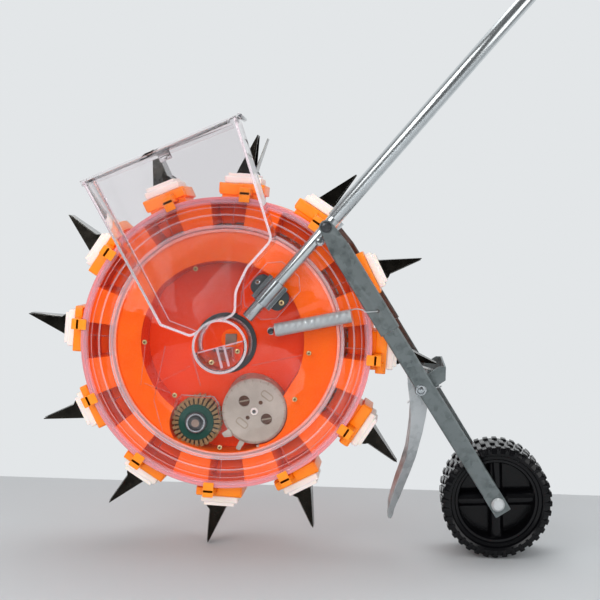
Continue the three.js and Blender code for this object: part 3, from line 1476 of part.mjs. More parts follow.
// Rear frame and press wheel
addPiece(machine, 'rear_arm_near', makeArm(nearPin), finish.galvanised);
addPiece(machine, 'rear_arm_far', farSide(makeArm(farPin)), finish.galvanised);
const axleMesh = addPiece(machine, 'wheel_axle', makeWheelAxle(), finish.bright);
const wheelMesh = addPiece(machine, 'press_wheel', makePressWheel(), finish.black);
[axleMesh, wheelMesh].forEach((mesh) => mesh.position.set(axlePlace[0], 0, axlePlace[1]));

// Coverers
addPiece(machine, 'coverer_bracket', makeCovererBracket(), finish.galvanised);
const bladeBody = makeBlade();
addPiece(machine, 'coverer_blade_near', bladeBody, finish.galvanised);
addPiece(machine, 'coverer_blade_far', farSide(bladeBody), finish.galvanised);
addPiece(machine, 'coverer_spring', makeTorsionSpring(), finish.bright);

// The reference point is the middle of the machine's box, on the ground
const box = new THREE.Box3().setFromObject(machine);
const middle = box.getCenter(new THREE.Vector3());
machine.position.set(-middle.x, -middle.y, -box.min.z);

export default machine;
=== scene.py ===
"""Looks of a hand seeder.

A turning drum of duckbill openers, a clear hopper, a push pole, coverers and a press wheel.
"""

import logging
import math
from dataclasses import dataclass
from enum import Enum
from typing import Sequence

import bmesh
import bpy
from mathutils import Matrix, Vector


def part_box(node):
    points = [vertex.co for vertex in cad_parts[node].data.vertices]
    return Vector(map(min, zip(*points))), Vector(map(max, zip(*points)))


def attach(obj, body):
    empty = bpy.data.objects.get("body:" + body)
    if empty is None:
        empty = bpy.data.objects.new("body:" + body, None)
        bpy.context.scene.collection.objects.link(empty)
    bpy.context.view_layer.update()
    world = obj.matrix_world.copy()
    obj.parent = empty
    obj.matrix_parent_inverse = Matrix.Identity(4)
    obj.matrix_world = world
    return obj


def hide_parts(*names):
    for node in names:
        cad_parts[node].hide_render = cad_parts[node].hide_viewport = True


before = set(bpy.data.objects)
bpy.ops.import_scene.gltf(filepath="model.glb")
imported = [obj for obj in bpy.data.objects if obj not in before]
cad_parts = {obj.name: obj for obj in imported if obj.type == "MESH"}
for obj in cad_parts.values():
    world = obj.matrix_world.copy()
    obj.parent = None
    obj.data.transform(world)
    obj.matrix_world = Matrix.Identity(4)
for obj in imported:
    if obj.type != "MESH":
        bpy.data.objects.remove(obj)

log = logging.getLogger("seeder")
Point = tuple[float, float]
Triple = tuple[float, float, float]
Piece = bpy.types.Object
Tree = bpy.types.NodeTree
Socket = bpy.types.NodeSocket

MM = 0.001
DOUBLES = 2e-6  # metres within which corners are one
SHARP = 38.0  # degrees between faces from which an edge is rounded
AXIS: Point = (0.0, 0.0)  # the drum's, from which places are measured
SEED_ANGLE = -67.1  # of the seed wheel's centre about the drum's axis
GEAR_MODULE = 4.95

_low, _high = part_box("hub_axle")
HUB = Vector(((_low.x + _high.x) / 2, 0.0, (_low.z + _high.z) / 2))


class Slot(Enum):
    """The material slots."""

    ORANGE = "orange_plastic"
    CLEAR = "clear_plastic"
    NYLON = "nylon"
    BILL = "bill_steel"
    BRIGHT = "bright_steel"
    TUBE = "bright_tube"
    GALVANISED = "galvanised_steel"
    RUBBER = "rubber"
    BLACK = "black_plastic"
    GREEN = "green_plastic"


# Places


def at(x: float, y: float, z: float) -> Vector:
    """Turns a place in millimetres from the drum's axis into metres in the shared frame."""
    return Vector((x * MM, y * MM, z * MM)) + HUB


def polar(radius: float, angle: float, centre: Point = AXIS) -> Point:
    """Gives the point at a radius and an angle in degrees from +X towards +Z."""
    turn = math.radians(angle)
    return centre[0] + radius * math.cos(turn), centre[1] + radius * math.sin(turn)


def arc(radius: float, start: float, end: float, steps: int, centre: Point = AXIS) -> list[Point]:
    """Gives points along an arc, both ends included."""
    return [polar(radius, start + (end - start) * i / steps, centre) for i in range(steps + 1)]


def sector(inner: float, outer: float, start: float, end: float, steps: int = 8) -> list[Point]:
    """Gives the outline of a piece of a ring."""
    return arc(outer, start, end, steps) + arc(inner, end, start, steps)


def box(x_low: float, x_high: float, z_low: float, z_high: float) -> list[Point]:
    """Gives the outline of an upright rectangle."""
    return [(x_low, z_low), (x_high, z_low), (x_high, z_high), (x_low, z_high)]


def turned(points: Sequence[Point], angle: float, centre: Point = AXIS) -> list[Point]:
    """Turns outline points about a centre.

    Args:
        points: the outline.
        angle: degrees from +X towards +Z.
        centre: the point that stays.

    Returns:
        The turned outline.
    """
    c, s = math.cos(math.radians(angle)), math.sin(math.radians(angle))
    result = []
    for x, z in points:
        dx, dz = x - centre[0], z - centre[1]
        result.append((centre[0] + dx * c - dz * s, centre[1] + dx * s + dz * c))
    return result


def shifted(points: Sequence[Point], x: float, z: float) -> list[Point]:
    """Moves outline points."""
    return [(px + x, pz + z) for px, pz in points]


def strip(start: Point, end: Point, half: float) -> list[Point]:
    """Gives the outline of a straight strip.

    Args:
        start: middle of one end.
        end: middle of the other end.
        half: half the strip's width.

    Returns:
        The outline.
    """
    way = (Vector(end) - Vector(start)).normalized() * half
    corners = ((start, -1), (end, -1), (end, 1), (start, 1))
    return [(spot[0] - way.y * side, spot[1] + way.x * side) for spot, side in corners]


def bent(start: Vector, corner: Vector, end: Vector, steps: int) -> list[Vector]:
    """Gives the places of a curve from start to end that leaves and arrives towards a corner."""
    shares = [k / steps for k in range(steps + 1)]
    return [start * (1 - t) ** 2 + corner * (2 * t * (1 - t)) + end * t**2 for t in shares]


def rounded(points: Sequence[Point], radius: float | Sequence[float], steps: int = 4) -> list[Point]:
    """Rounds the corners of an outline or a profile.

    Args:
        points: the corners.
        radius: one radius for all corners, or one for each.
        steps: straight pieces in each corner.

    Returns:
        The outline with a curve in place of each corner.
    """
    straight = math.radians(89)  # half the angle of a corner that needs no curve
    most = 0.48  # of an edge, for the curve at one end
    count = len(points)
    radii = [radius] * count if isinstance(radius, (int, float)) else list(radius)
    result = []
    for i, place in enumerate(points):
        corner = Vector(place)
        before = Vector(points[i - 1]) - corner
        after = Vector(points[(i + 1) % count]) - corner
        half = before.angle(after) / 2
        if radii[i] <= 0 or half > straight:
            result.append(place)
            continue
        reach = min(radii[i] / math.tan(half), most * before.length, most * after.length)
        start, end = corner + before.normalized() * reach, corner + after.normalized() * reach
        result += [(spot.x, spot.y) for spot in bent(start, corner, end, steps)]
    return result


def turn(degrees: float, centre: Point = AXIS) -> Matrix:
    """Gives the matrix that turns a mesh about an axis along Y, from +X towards +Z."""
    pivot, spin = at(centre[0], 0.0, centre[1]), Matrix.Rotation(-math.radians(degrees), 4, "Y")
    return Matrix.Translation(pivot) @ spin @ Matrix.Translation(-pivot)


MIRROR = Matrix.Scale(-1.0, 4, (0.0, 1.0, 0.0))
SIDES = (("near", Matrix.Identity(4)), ("far", MIRROR))


# Modelling steps


def only(*pieces: Piece) -> None:
    """Goes to object mode with just these pieces selected.

    Args:
        pieces: the pieces; the first one becomes active.
    """
    if bpy.context.mode != "OBJECT":
        bpy.ops.object.mode_set(mode="OBJECT")
    bpy.ops.object.select_all(action="DESELECT")
    for piece in pieces:
        piece.select_set(True)
    if pieces:
        bpy.context.view_layer.objects.active = pieces[0]


def edit(piece: Piece) -> None:
    """Goes to edit mode on a piece with everything selected.

    Args:
        piece: the piece.
    """
    only(piece)
    bpy.ops.object.mode_set(mode="EDIT")
    bpy.ops.mesh.select_all(action="SELECT")


def close_up(piece: Piece) -> Piece:
    """Merges doubles and points all faces outwards, then returns to object mode.

    Args:
        piece: the piece, in edit mode.

    Returns:
        The piece.
    """
    bpy.ops.mesh.select_all(action="SELECT")
    bpy.ops.mesh.remove_doubles(threshold=DOUBLES)
    bpy.ops.mesh.delete_loose()
    bpy.ops.mesh.select_all(action="SELECT")
    bpy.ops.mesh.normals_make_consistent(inside=False)
    bpy.ops.object.mode_set(mode="OBJECT")
    return piece


def smooth(piece: Piece, degrees: float = 34.0) -> Piece:
    """Smooths the shading where faces meet at less than an angle.

    Args:
        piece: the piece.
        degrees: the angle.

    Returns:
        The piece.
    """
    only(piece)
    bpy.ops.object.shade_smooth_by_angle(angle=math.radians(degrees))
    return piece


def modify(piece: Piece, kind: str, **settings: object) -> Piece:
    """Adds a modifier with its settings and applies it.

    Args:
        piece: the piece.
        kind: the modifier's type.
        settings: its properties by name.

    Returns:
        The piece.
    """
    only(piece)
    modifier = piece.modifiers.new(kind.title(), kind)
    for key, value in settings.items():
        setattr(modifier, key, value)
    bpy.ops.object.modifier_apply(modifier=modifier.name)
    return piece


def soften(piece: Piece, width: float, segments: int = 2, edge_slot: int = -1) -> Piece:
    """Rounds the sharp edges of a piece.

    Args:
        piece: the piece.
        width: size of the rounding in mm.
        segments: faces across it.
        edge_slot: material slot for the new faces, or -1 for that of their neighbours.

    Returns:
        The piece.
    """
    settings = {"width": width * MM, "segments": segments, "material": edge_slot}
    modify(piece, "BEVEL", limit_method="ANGLE", angle_limit=math.radians(SHARP), **settings)
    return smooth(piece, 40.0)


def cut(piece: Piece, *tools: Piece, kind: str = "DIFFERENCE") -> Piece:
    """Cuts tools out of a piece, or joins them to it, and removes the tools.

    Args:
        piece: the piece.
        tools: closed pieces, used one after the other.
        kind: DIFFERENCE to cut, UNION to join.

    Returns:
        The piece.
    """
    for tool in tools:
        modify(piece, "BOOLEAN", object=tool, operation=kind, solver="EXACT")
        bpy.data.objects.remove(tool)
    return piece


def loop(name: str, places: Sequence[Vector], fill: str) -> Piece:
    """Adds a circle with as many corners as places, and brings each corner to its place.

    Args:
        name: the piece's name.
        places: the corners in metres.
        fill: NGON for a face, NOTHING for an open loop.

    Returns:
        The piece.
    """
    only()
    bpy.ops.mesh.primitive_circle_add(vertices=len(places), radius=MM, fill_type=fill)
    piece = bpy.context.object
    piece.name = piece.data.name = name
    for vertex, place in zip(piece.data.vertices, places):
        vertex.co = place
    return piece


def plate(
    name: str, outline: Sequence[Point], y_from: float, y_to: float, edge: float = 0.0, segments: int = 2
) -> Piece:
    """Extrudes an upright outline along Y.

    Args:
        name: the piece's name.
        outline: corners in X and Z.
        y_from: first face.
        y_to: second face.
        edge: rounding of the edges.
        segments: faces across the rounding.

    Returns:
        The piece.
    """
    piece = loop(name, [at(x, y_from, z) for x, z in outline], "NGON")
    edit(piece)
    move = {"value": (0.0, (y_to - y_from) * MM, 0.0)}
    bpy.ops.mesh.extrude_region_move(TRANSFORM_OT_translate=move)
    close_up(piece)
    return soften(piece, edge, segments) if edge else smooth(piece)


def lathe(name: str, profile: Sequence[Point], centre: Point = AXIS, steps: int = 64) -> Piece:
    """Spins a closed profile about an axis along Y.

    Args:
        name: the piece's name.
        profile: corners as radius and Y.
        centre: X and Z of the axis.
        steps: faces around.

    Returns:
        The piece.
    """
    piece = loop(name, [at(centre[0] + radius, y, centre[1]) for radius, y in profile], "NOTHING")
    edit(piece)
    middle = at(centre[0], 0.0, centre[1])
    bpy.ops.mesh.spin(steps=steps, angle=2 * math.pi, center=middle, axis=(0.0, 1.0, 0.0))
    close_up(piece)
    return smooth(piece)


def ring(
    name: str, outer: float, inner: float, y_from: float, y_to: float, edge: float = 0.4,
    centre: Point = AXIS, steps: int = 96,
) -> Piece:
    """Turns a ring, or a disc where inner is zero, with rounded edges.

    Args:
        name: the piece's name.
        outer: outer radius.
        inner: inner radius.
        y_from: first face.
        y_to: second face.
        edge: rounding of the edges.
        centre: X and Z of the axis.
        steps: faces around.

    Returns:
        The piece.
    """
    corners = [(inner, y_from), (outer, y_from), (outer, y_to), (inner, y_to)]
    within = edge if inner > 0 else 0.0
    return lathe(name, rounded(corners, [within, edge, edge, within], 3), centre, steps)


def skin(name: str, sections: Sequence[Sequence[Vector]]) -> Piece:
    """Extrudes a closed section on through further sections with as many corners.

    Args:
        name: the piece's name.
        sections: closed runs of places in metres.

    Returns:
        The closed piece.
    """
    piece = loop(name, sections[0], "NGON")
    edit(piece)
    for before, after in zip(sections, sections[1:]):
        bpy.ops.mesh.extrude_region_move()
        mesh = bmesh.from_edit_mesh(piece.data)
        free = [vertex for vertex in mesh.verts if vertex.select]
        moves = []
        for start, end in zip(before, after):
            vertex = min(free, key=lambda v: (v.co - start).length_squared)
            free.remove(vertex)
            moves.append((vertex, end))
        for vertex, end in moves:
            vertex.co = end
        bmesh.update_edit_mesh(piece.data)
    close_up(piece)
    return smooth(piece)


def wire(name: str, places: Sequence[Vector], radius: float, around: int = 12, caps: bool = True) -> Piece:
    """Sweeps a round section along places.

    Args:
        name: the piece's name.
        places: the centre line in metres.
        radius: of the section, in mm.
        around: faces around.
        caps: whether the ends are closed.

    Returns:
        The piece, as a mesh.
    """
    line = bpy.data.curves.new(name, "CURVE")
    line.dimensions = "3D"
    spline = line.splines.new("POLY")
    spline.points.add(len(places) - 1)
    for point, place in zip(spline.points, places):
        point.co = (*place, 1.0)
    line.bevel_depth = radius * MM
    line.bevel_resolution = max(0, around // 2 - 2)
    line.use_fill_caps = caps
    piece = bpy.data.objects.new(name, line)
    bpy.context.scene.collection.objects.link(piece)
    only(piece)
    bpy.ops.object.convert(target="MESH")
    edit(piece)
    close_up(piece)
    return smooth(piece, 44.0)


def pipe(name: str, places: Sequence[Vector], radius: float, wall: float, around: int = 40) -> Piece:
    """Sweeps a hollow tube of an outer radius and a wall in mm, with open ends and rounded rims."""
    piece = modify(wire(name, places, radius, around, False), "SOLIDIFY", thickness=wall * MM, offset=-1.0)
    return soften(piece, 0.3)


def copied(piece: Piece, name: str, move: Matrix) -> Piece:
    """Copies a piece with its own mesh.

    Args:
        piece: the model.
        name: the copy's name.
        move: the matrix that places the copy; it may mirror it.

    Returns:
        The copy.
    """
    twin = piece.copy()
    twin.data = piece.data.copy()
    twin.name = twin.data.name = name
    bpy.context.scene.collection.objects.link(twin)
    twin.data.transform(move)
    if move.determinant() < 0:
        twin.data.flip_normals()
    return twin


def repeated(piece: Piece, name: str, moves: Sequence[Matrix]) -> Piece:
    """Joins copies of a piece, one for each matrix, and removes the model.

    Args:
        piece: the model.
        name: name of the joined copies.
        moves: the matrices.

    Returns:
        The joined copies.
    """
    twins = [copied(piece, f"{name}_{i}", move) for i, move in enumerate(moves)]
    bpy.data.objects.remove(piece)
    return merged(name, twins)


def merged(name: str, pieces: Sequence[Piece]) -> Piece:
    """Joins pieces, each with its own finish, to one object.

    Args:
        name: the object's name.
        pieces: the pieces.

    Returns:
        The object.
    """
    only(*pieces)
    if len(pieces) > 1:
        bpy.ops.object.join()
    piece = bpy.context.object
    piece.name = piece.data.name = name
    return piece


# Finishes


def linear(code: str) -> tuple[float, ...]:
    """Turns an sRGB hex colour into the linear one, with 1 for opaque, that a shader takes."""
    shares = [int(code[i : i + 2], 16) / 255 for i in (1, 3, 5)]
    return (*[s / 12.92 if s <= 0.04045 else ((s + 0.055) / 1.055) ** 2.4 for s in shares], 1.0)


def per(size: float) -> float:
    """Gives the texture scale at which a pattern repeats about every so many millimetres."""
    return 1.0 / (size * MM)


def add(tree: Tree, kind: str, inputs: dict | None = None, **settings: object) -> bpy.types.Node:
    """Adds a node with its settings and links.

    Args:
        tree: the material's nodes.
        kind: its type, without ShaderNode.
        inputs: by name or number, a value or the socket that feeds it.
        settings: the node's own properties.

    Returns:
        The node.
    """
    made = tree.nodes.new(f"ShaderNode{kind}")
    for key, value in settings.items():
        setattr(made, key, value)
    for key, value in (inputs or {}).items():
        if isinstance(value, Socket):
            tree.links.new(value, made.inputs[key])
        else:
            made.inputs[key].default_value = value
    return made


@dataclass(frozen=True)
class Finish:
    """A named finish; each kind says how its shader is made."""

    name: str
    slot: Slot

    def material(self) -> bpy.types.Material:
        """Gives the finish's material, made on first use."""
        found = bpy.data.materials.get(self.name)
        if found is None:
            found = bpy.data.materials.new(self.name)
            found.use_nodes = True
            tree = found.node_tree
            tree.nodes.clear()
            place = add(tree, "TexCoord").outputs["Object"]
            add(tree, "OutputMaterial", {"Surface": self.shader(tree, place)})
        return found

    def shader(self, tree: Tree, place: Socket) -> Socket:
        """Builds the nodes and gives the surface's socket."""
        raise NotImplementedError

    def noise(self, tree: Tree, place: Socket, size: float, detail: float = 2.0) -> Socket:
        """Gives a noise pattern with features of a size in mm."""
        inputs = {"Vector": place, "Scale": per(size), "Detail": detail, "Roughness": 0.55}
        return add(tree, "TexNoise", inputs).outputs["Fac"]

    def between(self, tree: Tree, share: Socket, low: float, high: float) -> Socket:
        """Spreads a pattern, which seldom leaves 0.3 to 0.7, between two values."""
        inputs = {"Value": share, "From Min": 0.3, "From Max": 0.7, "To Min": low, "To Max": high}
        return add(tree, "MapRange", inputs).outputs["Result"]

    def blend(self, tree: Tree, share: Socket, first: str, second: str) -> Socket:
        """Blends two colours by a pattern.

        Args:
            tree: the material's nodes.
            share: the pattern.
            first: hex colour up to a third of it.
            second: hex colour from two thirds of it.

        Returns:
            The colour's socket.
        """
        ramp = add(tree, "ValToRGB", {"Fac": share})
        for stop, colour, position in zip(ramp.color_ramp.elements, (first, second), (0.32, 0.68)):
            stop.color = linear(colour)
            stop.position = position
        return ramp.outputs["Color"]

    def bump(self, tree: Tree, height: Socket, depth: float, strength: float) -> Socket:
        """Turns a pattern into relief of a depth in mm."""
        inputs = {"Height": height, "Distance": depth * MM, "Strength": strength}
        return add(tree, "Bump", inputs).outputs["Normal"]


@dataclass(frozen=True)
class Moulded(Finish):
    """Injection-moulded plastic: even colour, a satin skin with fine tool marks, soft highlights."""

    colour: str
    shade: str
    roughness: float = 0.38
    glow: float = 0.0
    relief: float = 0.04
    gloss: float = 0.5

    def shader(self, tree: Tree, place: Socket) -> Socket:
        """Flow clouds of 30 mm in the colour, and a 0.9 mm grain, coarser than real so that it shows."""
        cloud = self.noise(tree, place, 30.0)
        grain = self.noise(tree, place, 0.9, 3.0)
        inputs = {
            "Base Color": self.blend(tree, cloud, self.colour, self.shade),
            "Roughness": self.between(tree, grain, 0.85 * self.roughness, 1.2 * self.roughness),
            "Normal": self.bump(tree, grain, self.relief, 0.35),
            "IOR": 1.53,
            "Specular IOR Level": self.gloss,
            "Subsurface Weight": self.glow,
            "Subsurface Radius": (0.004, 0.0016, 0.0006),
            "Subsurface Scale": 1.0,
        }
        return add(tree, "BsdfPrincipled", inputs).outputs["BSDF"]


@dataclass(frozen=True)
class Clear(Finish):
    """Clear polycarbonate: sharp reflections over what lies behind, and cut edges that gather light."""

    colour: str
    roughness: float = 0.0
    clarity: float = 1.0

    def shader(self, tree: Tree, place: Socket) -> Socket:
        """Refracting plastic with slight waviness over 25 mm, which lets the lamps' light through."""
        wave = self.noise(tree, place, 25.0, 1.0)
        colour = linear(self.colour)
        inputs = {
            "Base Color": colour,
            "Roughness": self.roughness,
            "IOR": 1.46,
            "Transmission Weight": self.clarity,
            "Normal": self.bump(tree, wave, 0.5, 0.25),
        }
        glass = add(tree, "BsdfPrincipled", inputs).outputs["BSDF"]
        film = add(tree, "BsdfTransparent", {"Color": colour}).outputs["BSDF"]
        path = add(tree, "LightPath").outputs["Is Shadow Ray"]
        return add(tree, "MixShader", {0: path, 1: glass, 2: film}).outputs["Shader"]


@dataclass(frozen=True)
class Galvanised(Finish):
    """Hot-dip galvanised sheet: grey zinc crystals of a few millimetres, each with its own sheen."""

    light: str
    dark: str
    spangle: float = 7.0

    def shader(self, tree: Tree, place: Socket) -> Socket:
        """Crystals by Voronoi cells, dulled by a cloud of oxide over 18 mm."""
        inputs = {"Vector": place, "Scale": per(self.spangle)}
        crystal = add(tree, "TexVoronoi", inputs).outputs["Color"]
        share = add(tree, "SeparateColor", {"Color": crystal}).outputs["Red"]
        cloud = self.noise(tree, place, 18.0, 4.0)
        both = add(tree, "Math", {0: share, 1: 0.3, 2: cloud}, operation="MULTIPLY_ADD")
        fine = self.noise(tree, place, 1.2, 3.0)
        inputs = {
            "Base Color": self.blend(tree, both.outputs["Value"], self.dark, self.light),
            "Metallic": 0.9,
            "Roughness": self.between(tree, both.outputs["Value"], 0.36, 0.52),
            "Normal": self.bump(tree, fine, 0.05, 0.3),
        }
        return add(tree, "BsdfPrincipled", inputs).outputs["BSDF"]


@dataclass(frozen=True)
class Metal(Finish):
    """Plated, rolled or ground metal: a clear metallic sheen with light handling marks."""

    colour: str
    shade: str
    roughness: float = 0.2
    metallic: float = 1.0
    relief: float = 0.008

    def shader(self, tree: Tree, place: Socket) -> Socket:
        """Smears over 14 mm in colour and gloss, and a fine 0.6 mm grain."""
        smear = self.noise(tree, place, 14.0, 4.0)
        grain = self.noise(tree, place, 0.6, 2.0)
        inputs = {
            "Base Color": self.blend(tree, smear, self.colour, self.shade),
            "Metallic": self.metallic,
            "Roughness": self.between(tree, smear, 0.9 * self.roughness, 1.15 * self.roughness),
            "Normal": self.bump(tree, grain, self.relief, 0.15),
        }
        return add(tree, "BsdfPrincipled", inputs).outputs["BSDF"]


@dataclass(frozen=True)
class Bristle(Finish):
    """Natural and dyed nylon fibre: dry, each strand a slightly different tan."""

    colour: str
    shade: str

    def shader(self, tree: Tree, place: Socket) -> Socket:
        """Colour that changes over 1.5 mm, from strand to strand."""
        strand = self.noise(tree, place, 1.5, 2.0)
        inputs = {
            "Base Color": self.blend(tree, strand, self.colour, self.shade),
            "Roughness": 0.62,
            "Normal": self.bump(tree, strand, 0.1, 0.3),
        }
        return add(tree, "BsdfPrincipled", inputs).outputs["BSDF"]


class Coat:
    """The finishes of this machine."""

    ABS = Moulded("orange_abs", Slot.ORANGE, "#FF6A04", "#FF6202", 0.26, gloss=0.3)
    # Recess orange: a darker copy of the orange, painted shade for the pan's recess.
    ABS_RECESS_SHADE = Moulded("orange_abs_recess_shade", Slot.ORANGE, "#EE3E04", "#F24406", 0.26, gloss=0.3)
    # Compartment orange: a deeper copy of the orange, painted shade inside the compartments.
    ABS_CELL_SHADE = Moulded("orange_abs_cell_shade", Slot.ORANGE, "#FF5A08", "#FF620A", 0.3, gloss=0.2)
    # Seat orange: a lighter copy of the orange, painted light for the direct light on the seats.
    ABS_SEAT_LIT = Moulded("orange_abs_lit", Slot.ORANGE, "#FF9010", "#FF860C", 0.3)
    CLEAR = Clear("clear_polycarbonate", Slot.CLEAR, "#FCFAFB")
    # Edge plastic: partly diffuse and whitish, a painted highlight on cut edges and ribs.
    CLEAR_EDGE_HIGHLIGHT = Clear("polycarbonate_edge_highlight", Slot.CLEAR, "#F8EAEF", 0.14, 0.62)
    CLEAR_RIM = Clear("polycarbonate_rim", Slot.CLEAR, "#ECCBD4", 0.1, 0.74)
    # Bead plastic: partly diffuse and whitish, a painted highlight on the beads and raised lips.
    CLEAR_BEAD_HIGHLIGHT = Clear("polycarbonate_bead_highlight", Slot.CLEAR, "#F6EFF2", 0.1, 0.76)
    NYLON = Moulded("natural_nylon", Slot.NYLON, "#EFE3DC", "#F3EAE4", 0.5, 0.15)
    WHEEL = Moulded("grey_nylon", Slot.NYLON, "#BDB5AA", "#A8A095", 0.42)
    # Hole brown: painted shade for the insides of recesses and holes.
    HOLE_SHADE = Moulded("painted_hole_shade", Slot.NYLON, "#6E4630", "#4A2C1E", 0.5)
    MARK = Moulded("weathered_nylon", Slot.NYLON, "#A79C8C", "#958A7A", 0.5)
    # Bill steel: near black, a painted shade and painted dark reflection on the bills, their rivets and the
    # flap pins.
    BILL = Metal("steel_painted_dark", Slot.BILL, "#24221F", "#37342F", 0.26)
    # Edge steel: a light copy of the steel, a painted highlight on the rounded edges of bills and flaps.
    BILL_EDGE_HIGHLIGHT = Metal("steel_edge_highlight", Slot.BILL, "#B9B6B0", "#9C9993", 0.28)
    FLAP = Metal("rolled_steel", Slot.BRIGHT, "#B2B4B4", "#9A9C9C", 0.26, 0.85)
    BRIGHT = Metal("zinc_plated_steel", Slot.BRIGHT, "#C9CDD0", "#AEB4B8", 0.2)
    PALE = Metal("dull_zinc_head", Slot.BRIGHT, "#D6D9DA", "#BDC1C3", 0.42, 0.6)
    DARK = Metal("darkened_steel", Slot.BRIGHT, "#5E6062", "#484A4D", 0.3, 0.8)
    WORN = Metal("worn_steel", Slot.BRIGHT, "#A08A7A", "#88756A", 0.4, 0.4)
    BRASS = Metal("yellow_zinc_screw", Slot.BRIGHT, "#EAD2A4", "#D2B67E", 0.24, 0.6)
    TUBE = Metal("chromed_tube", Slot.TUBE, "#D8DCDE", "#CED3D5", 0.24, relief=0.0)
    SPRING = Metal("spring_steel", Slot.BRIGHT, "#DDE0E2", "#D2D6D8", 0.48, 0.85, 0.0)
    ZINC = Galvanised("galvanised_sheet", Slot.GALVANISED, "#868E8F", "#656D6E")
    ZINC_PALE = Galvanised("galvanised_blade", Slot.GALVANISED, "#CDD1D3", "#A9AFB1")
    RUBBER = Moulded("black_rubber", Slot.RUBBER, "#303436", "#262A2C", 0.62)
    BLACK = Moulded("black_polypropylene", Slot.BLACK, "#060608", "#09090B", 0.2, 0.0, 0.0, 0.25)
    GREEN = Moulded("green_abs", Slot.GREEN, "#0A463A", "#083A30", 0.4, gloss=0.3)
    BRISTLE = Bristle("tan_bristle", Slot.GREEN, "#C2A678", "#8E7248")
    BRISTLE_ROOT = Bristle("brown_bristle", Slot.GREEN, "#3E2E1E", "#2C2016")


def paint(piece: Piece, *finishes: Finish) -> Piece:
    """Puts finishes in a piece's material slots.

    Args:
        piece: the piece.
        finishes: in the order of the slots.

    Returns:
        The piece.
    """
    piece.data.materials.clear()
    for finish in finishes:
        piece.data.materials.append(finish.material())
    return piece


def painted(pieces: Sequence[Piece], finish: Finish) -> list[Piece]:
    """Gives several pieces the same finish."""
    return [paint(piece, finish) for piece in pieces]


def clear(piece: Piece, lip: float = math.inf) -> Piece:
    """Dresses a clear piece, with other finishes on its cut edges, its raised lips and its rim; the whitish
    edge and lip finishes are painted highlights.

    Args:
        piece: the piece.
        lip: distance from the bill plane in mm past which a face is on a lip.

    Returns:
        The piece.
    """
    paint(piece, Coat.CLEAR, Coat.CLEAR_EDGE_HIGHLIGHT, Coat.CLEAR_RIM, Coat.CLEAR_BEAD_HIGHLIGHT)
    plain, edge, rim, bead = range(4)  # the slots, in that order
    narrow, sideways = 3.0 * MM, 0.92  # of a cut edge: its width, and the most that it faces along Y
    lips_from, rim_from = 144.0 * MM, 183.0 * MM  # from the drum's axis
    vertices = piece.data.vertices
    for face in piece.data.polygons:
        run = [vertices[i].co.y for i in face.vertices]
        reach = (face.center - HUB).xz.length
        if reach > rim_from and lip < math.inf:
            slot = rim
        elif reach > lips_from and abs(face.center.y) > lip * MM:
            slot = bead
        elif max(run) - min(run) < narrow and abs(face.normal.y) < sideways:
            slot = edge
        else:
            slot = plain
        face.material_index = slot
    return piece


def fit(piece: Piece, body: str, slot: Slot, *nodes: str) -> Piece:
    """Puts a finished piece on its body.

    Args:
        piece: the piece.
        body: the body that it rides on.
        slot: the slot for its material; not used.
        nodes: the CAD nodes whose place it takes.

    Returns:
        The piece.
    """
    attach(piece, body)
    if nodes:
        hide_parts(*nodes)
    log.info("%s: %d faces on %s", piece.name, len(piece.data.polygons), body)
    return piece


def mount(piece: Piece, body: str, finish: Finish, *nodes: str) -> Piece:
    """Finishes a piece of one material and fits it."""
    return fit(paint(piece, finish), body, finish.slot, *nodes)


# Small hardware


@dataclass
class Screw:
    """A pan-head screw with a recess for the driver."""

    radius: float = 3.2
    height: float = 2.0
    recess: float = 1.5

    def build(self, name: str, centre: Point, face: float, finish: Finish) -> Piece:
        """Builds the head on a face that looks towards -Y.

        Args:
            name: the screw's name.
            centre: its axis.
            face: the face's place along Y.
            finish: finish of the head.

        Returns:
            The head, with painted shade inside the recess.
        """
        r, h, hole = self.radius, self.height, self.recess
        profile = [(0, face), (r, face), (r, face - 0.35 * h), (0.8 * r, face - 0.8 * h), (hole, face - h)]
        profile += [(0.8 * hole, face - 0.3 * h), (0, face - 0.25 * h)]
        head = paint(lathe(name, profile, centre, 24), finish, Coat.HOLE_SHADE)
        # Faces near the axis, inside the recess, get the painted shade.
        for side in head.data.polygons:
            reach = (side.center - at(centre[0], side.center.y / MM, centre[1])).length
            side.material_index = int(reach < 0.9 * hole * MM)
        return head


@dataclass
class HexHead:
    """A hexagon bolt head with a chamfered top on a washer."""

    radius: float
    height: float
    washer: float
    washer_sheet: float = 1.4
    turned_by: float = 12.0

    def build(self, name: str, centre: Point, face: float, way: float, finish: Finish) -> Piece:
        """Builds the head and its washer on a face.

        Args:
            name: the bolt's name.
            centre: its axis.
            face: the face's place along Y.
            way: -1 where the face looks towards -Y, 1 the other way.
            finish: finish of both.

        Returns:
            The head and the washer.
        """
        seat = face + way * self.washer_sheet
        washer = ring(f"{name}_washer", self.washer, 0.0, face, seat, 0.4, centre, 32)
        outline = [polar(self.radius, 60 * i + self.turned_by, centre) for i in range(6)]
        head = plate(f"{name}_head", outline, seat, seat + way * self.height, 0.6)
        top = seat + way * (self.height + 0.35)
        cap = ring(f"{name}_cap", 0.62 * self.radius, 0.0, seat, top, 0.3, centre, 24)
        return merged(name, painted([washer, head, cap], finish))


# Drum


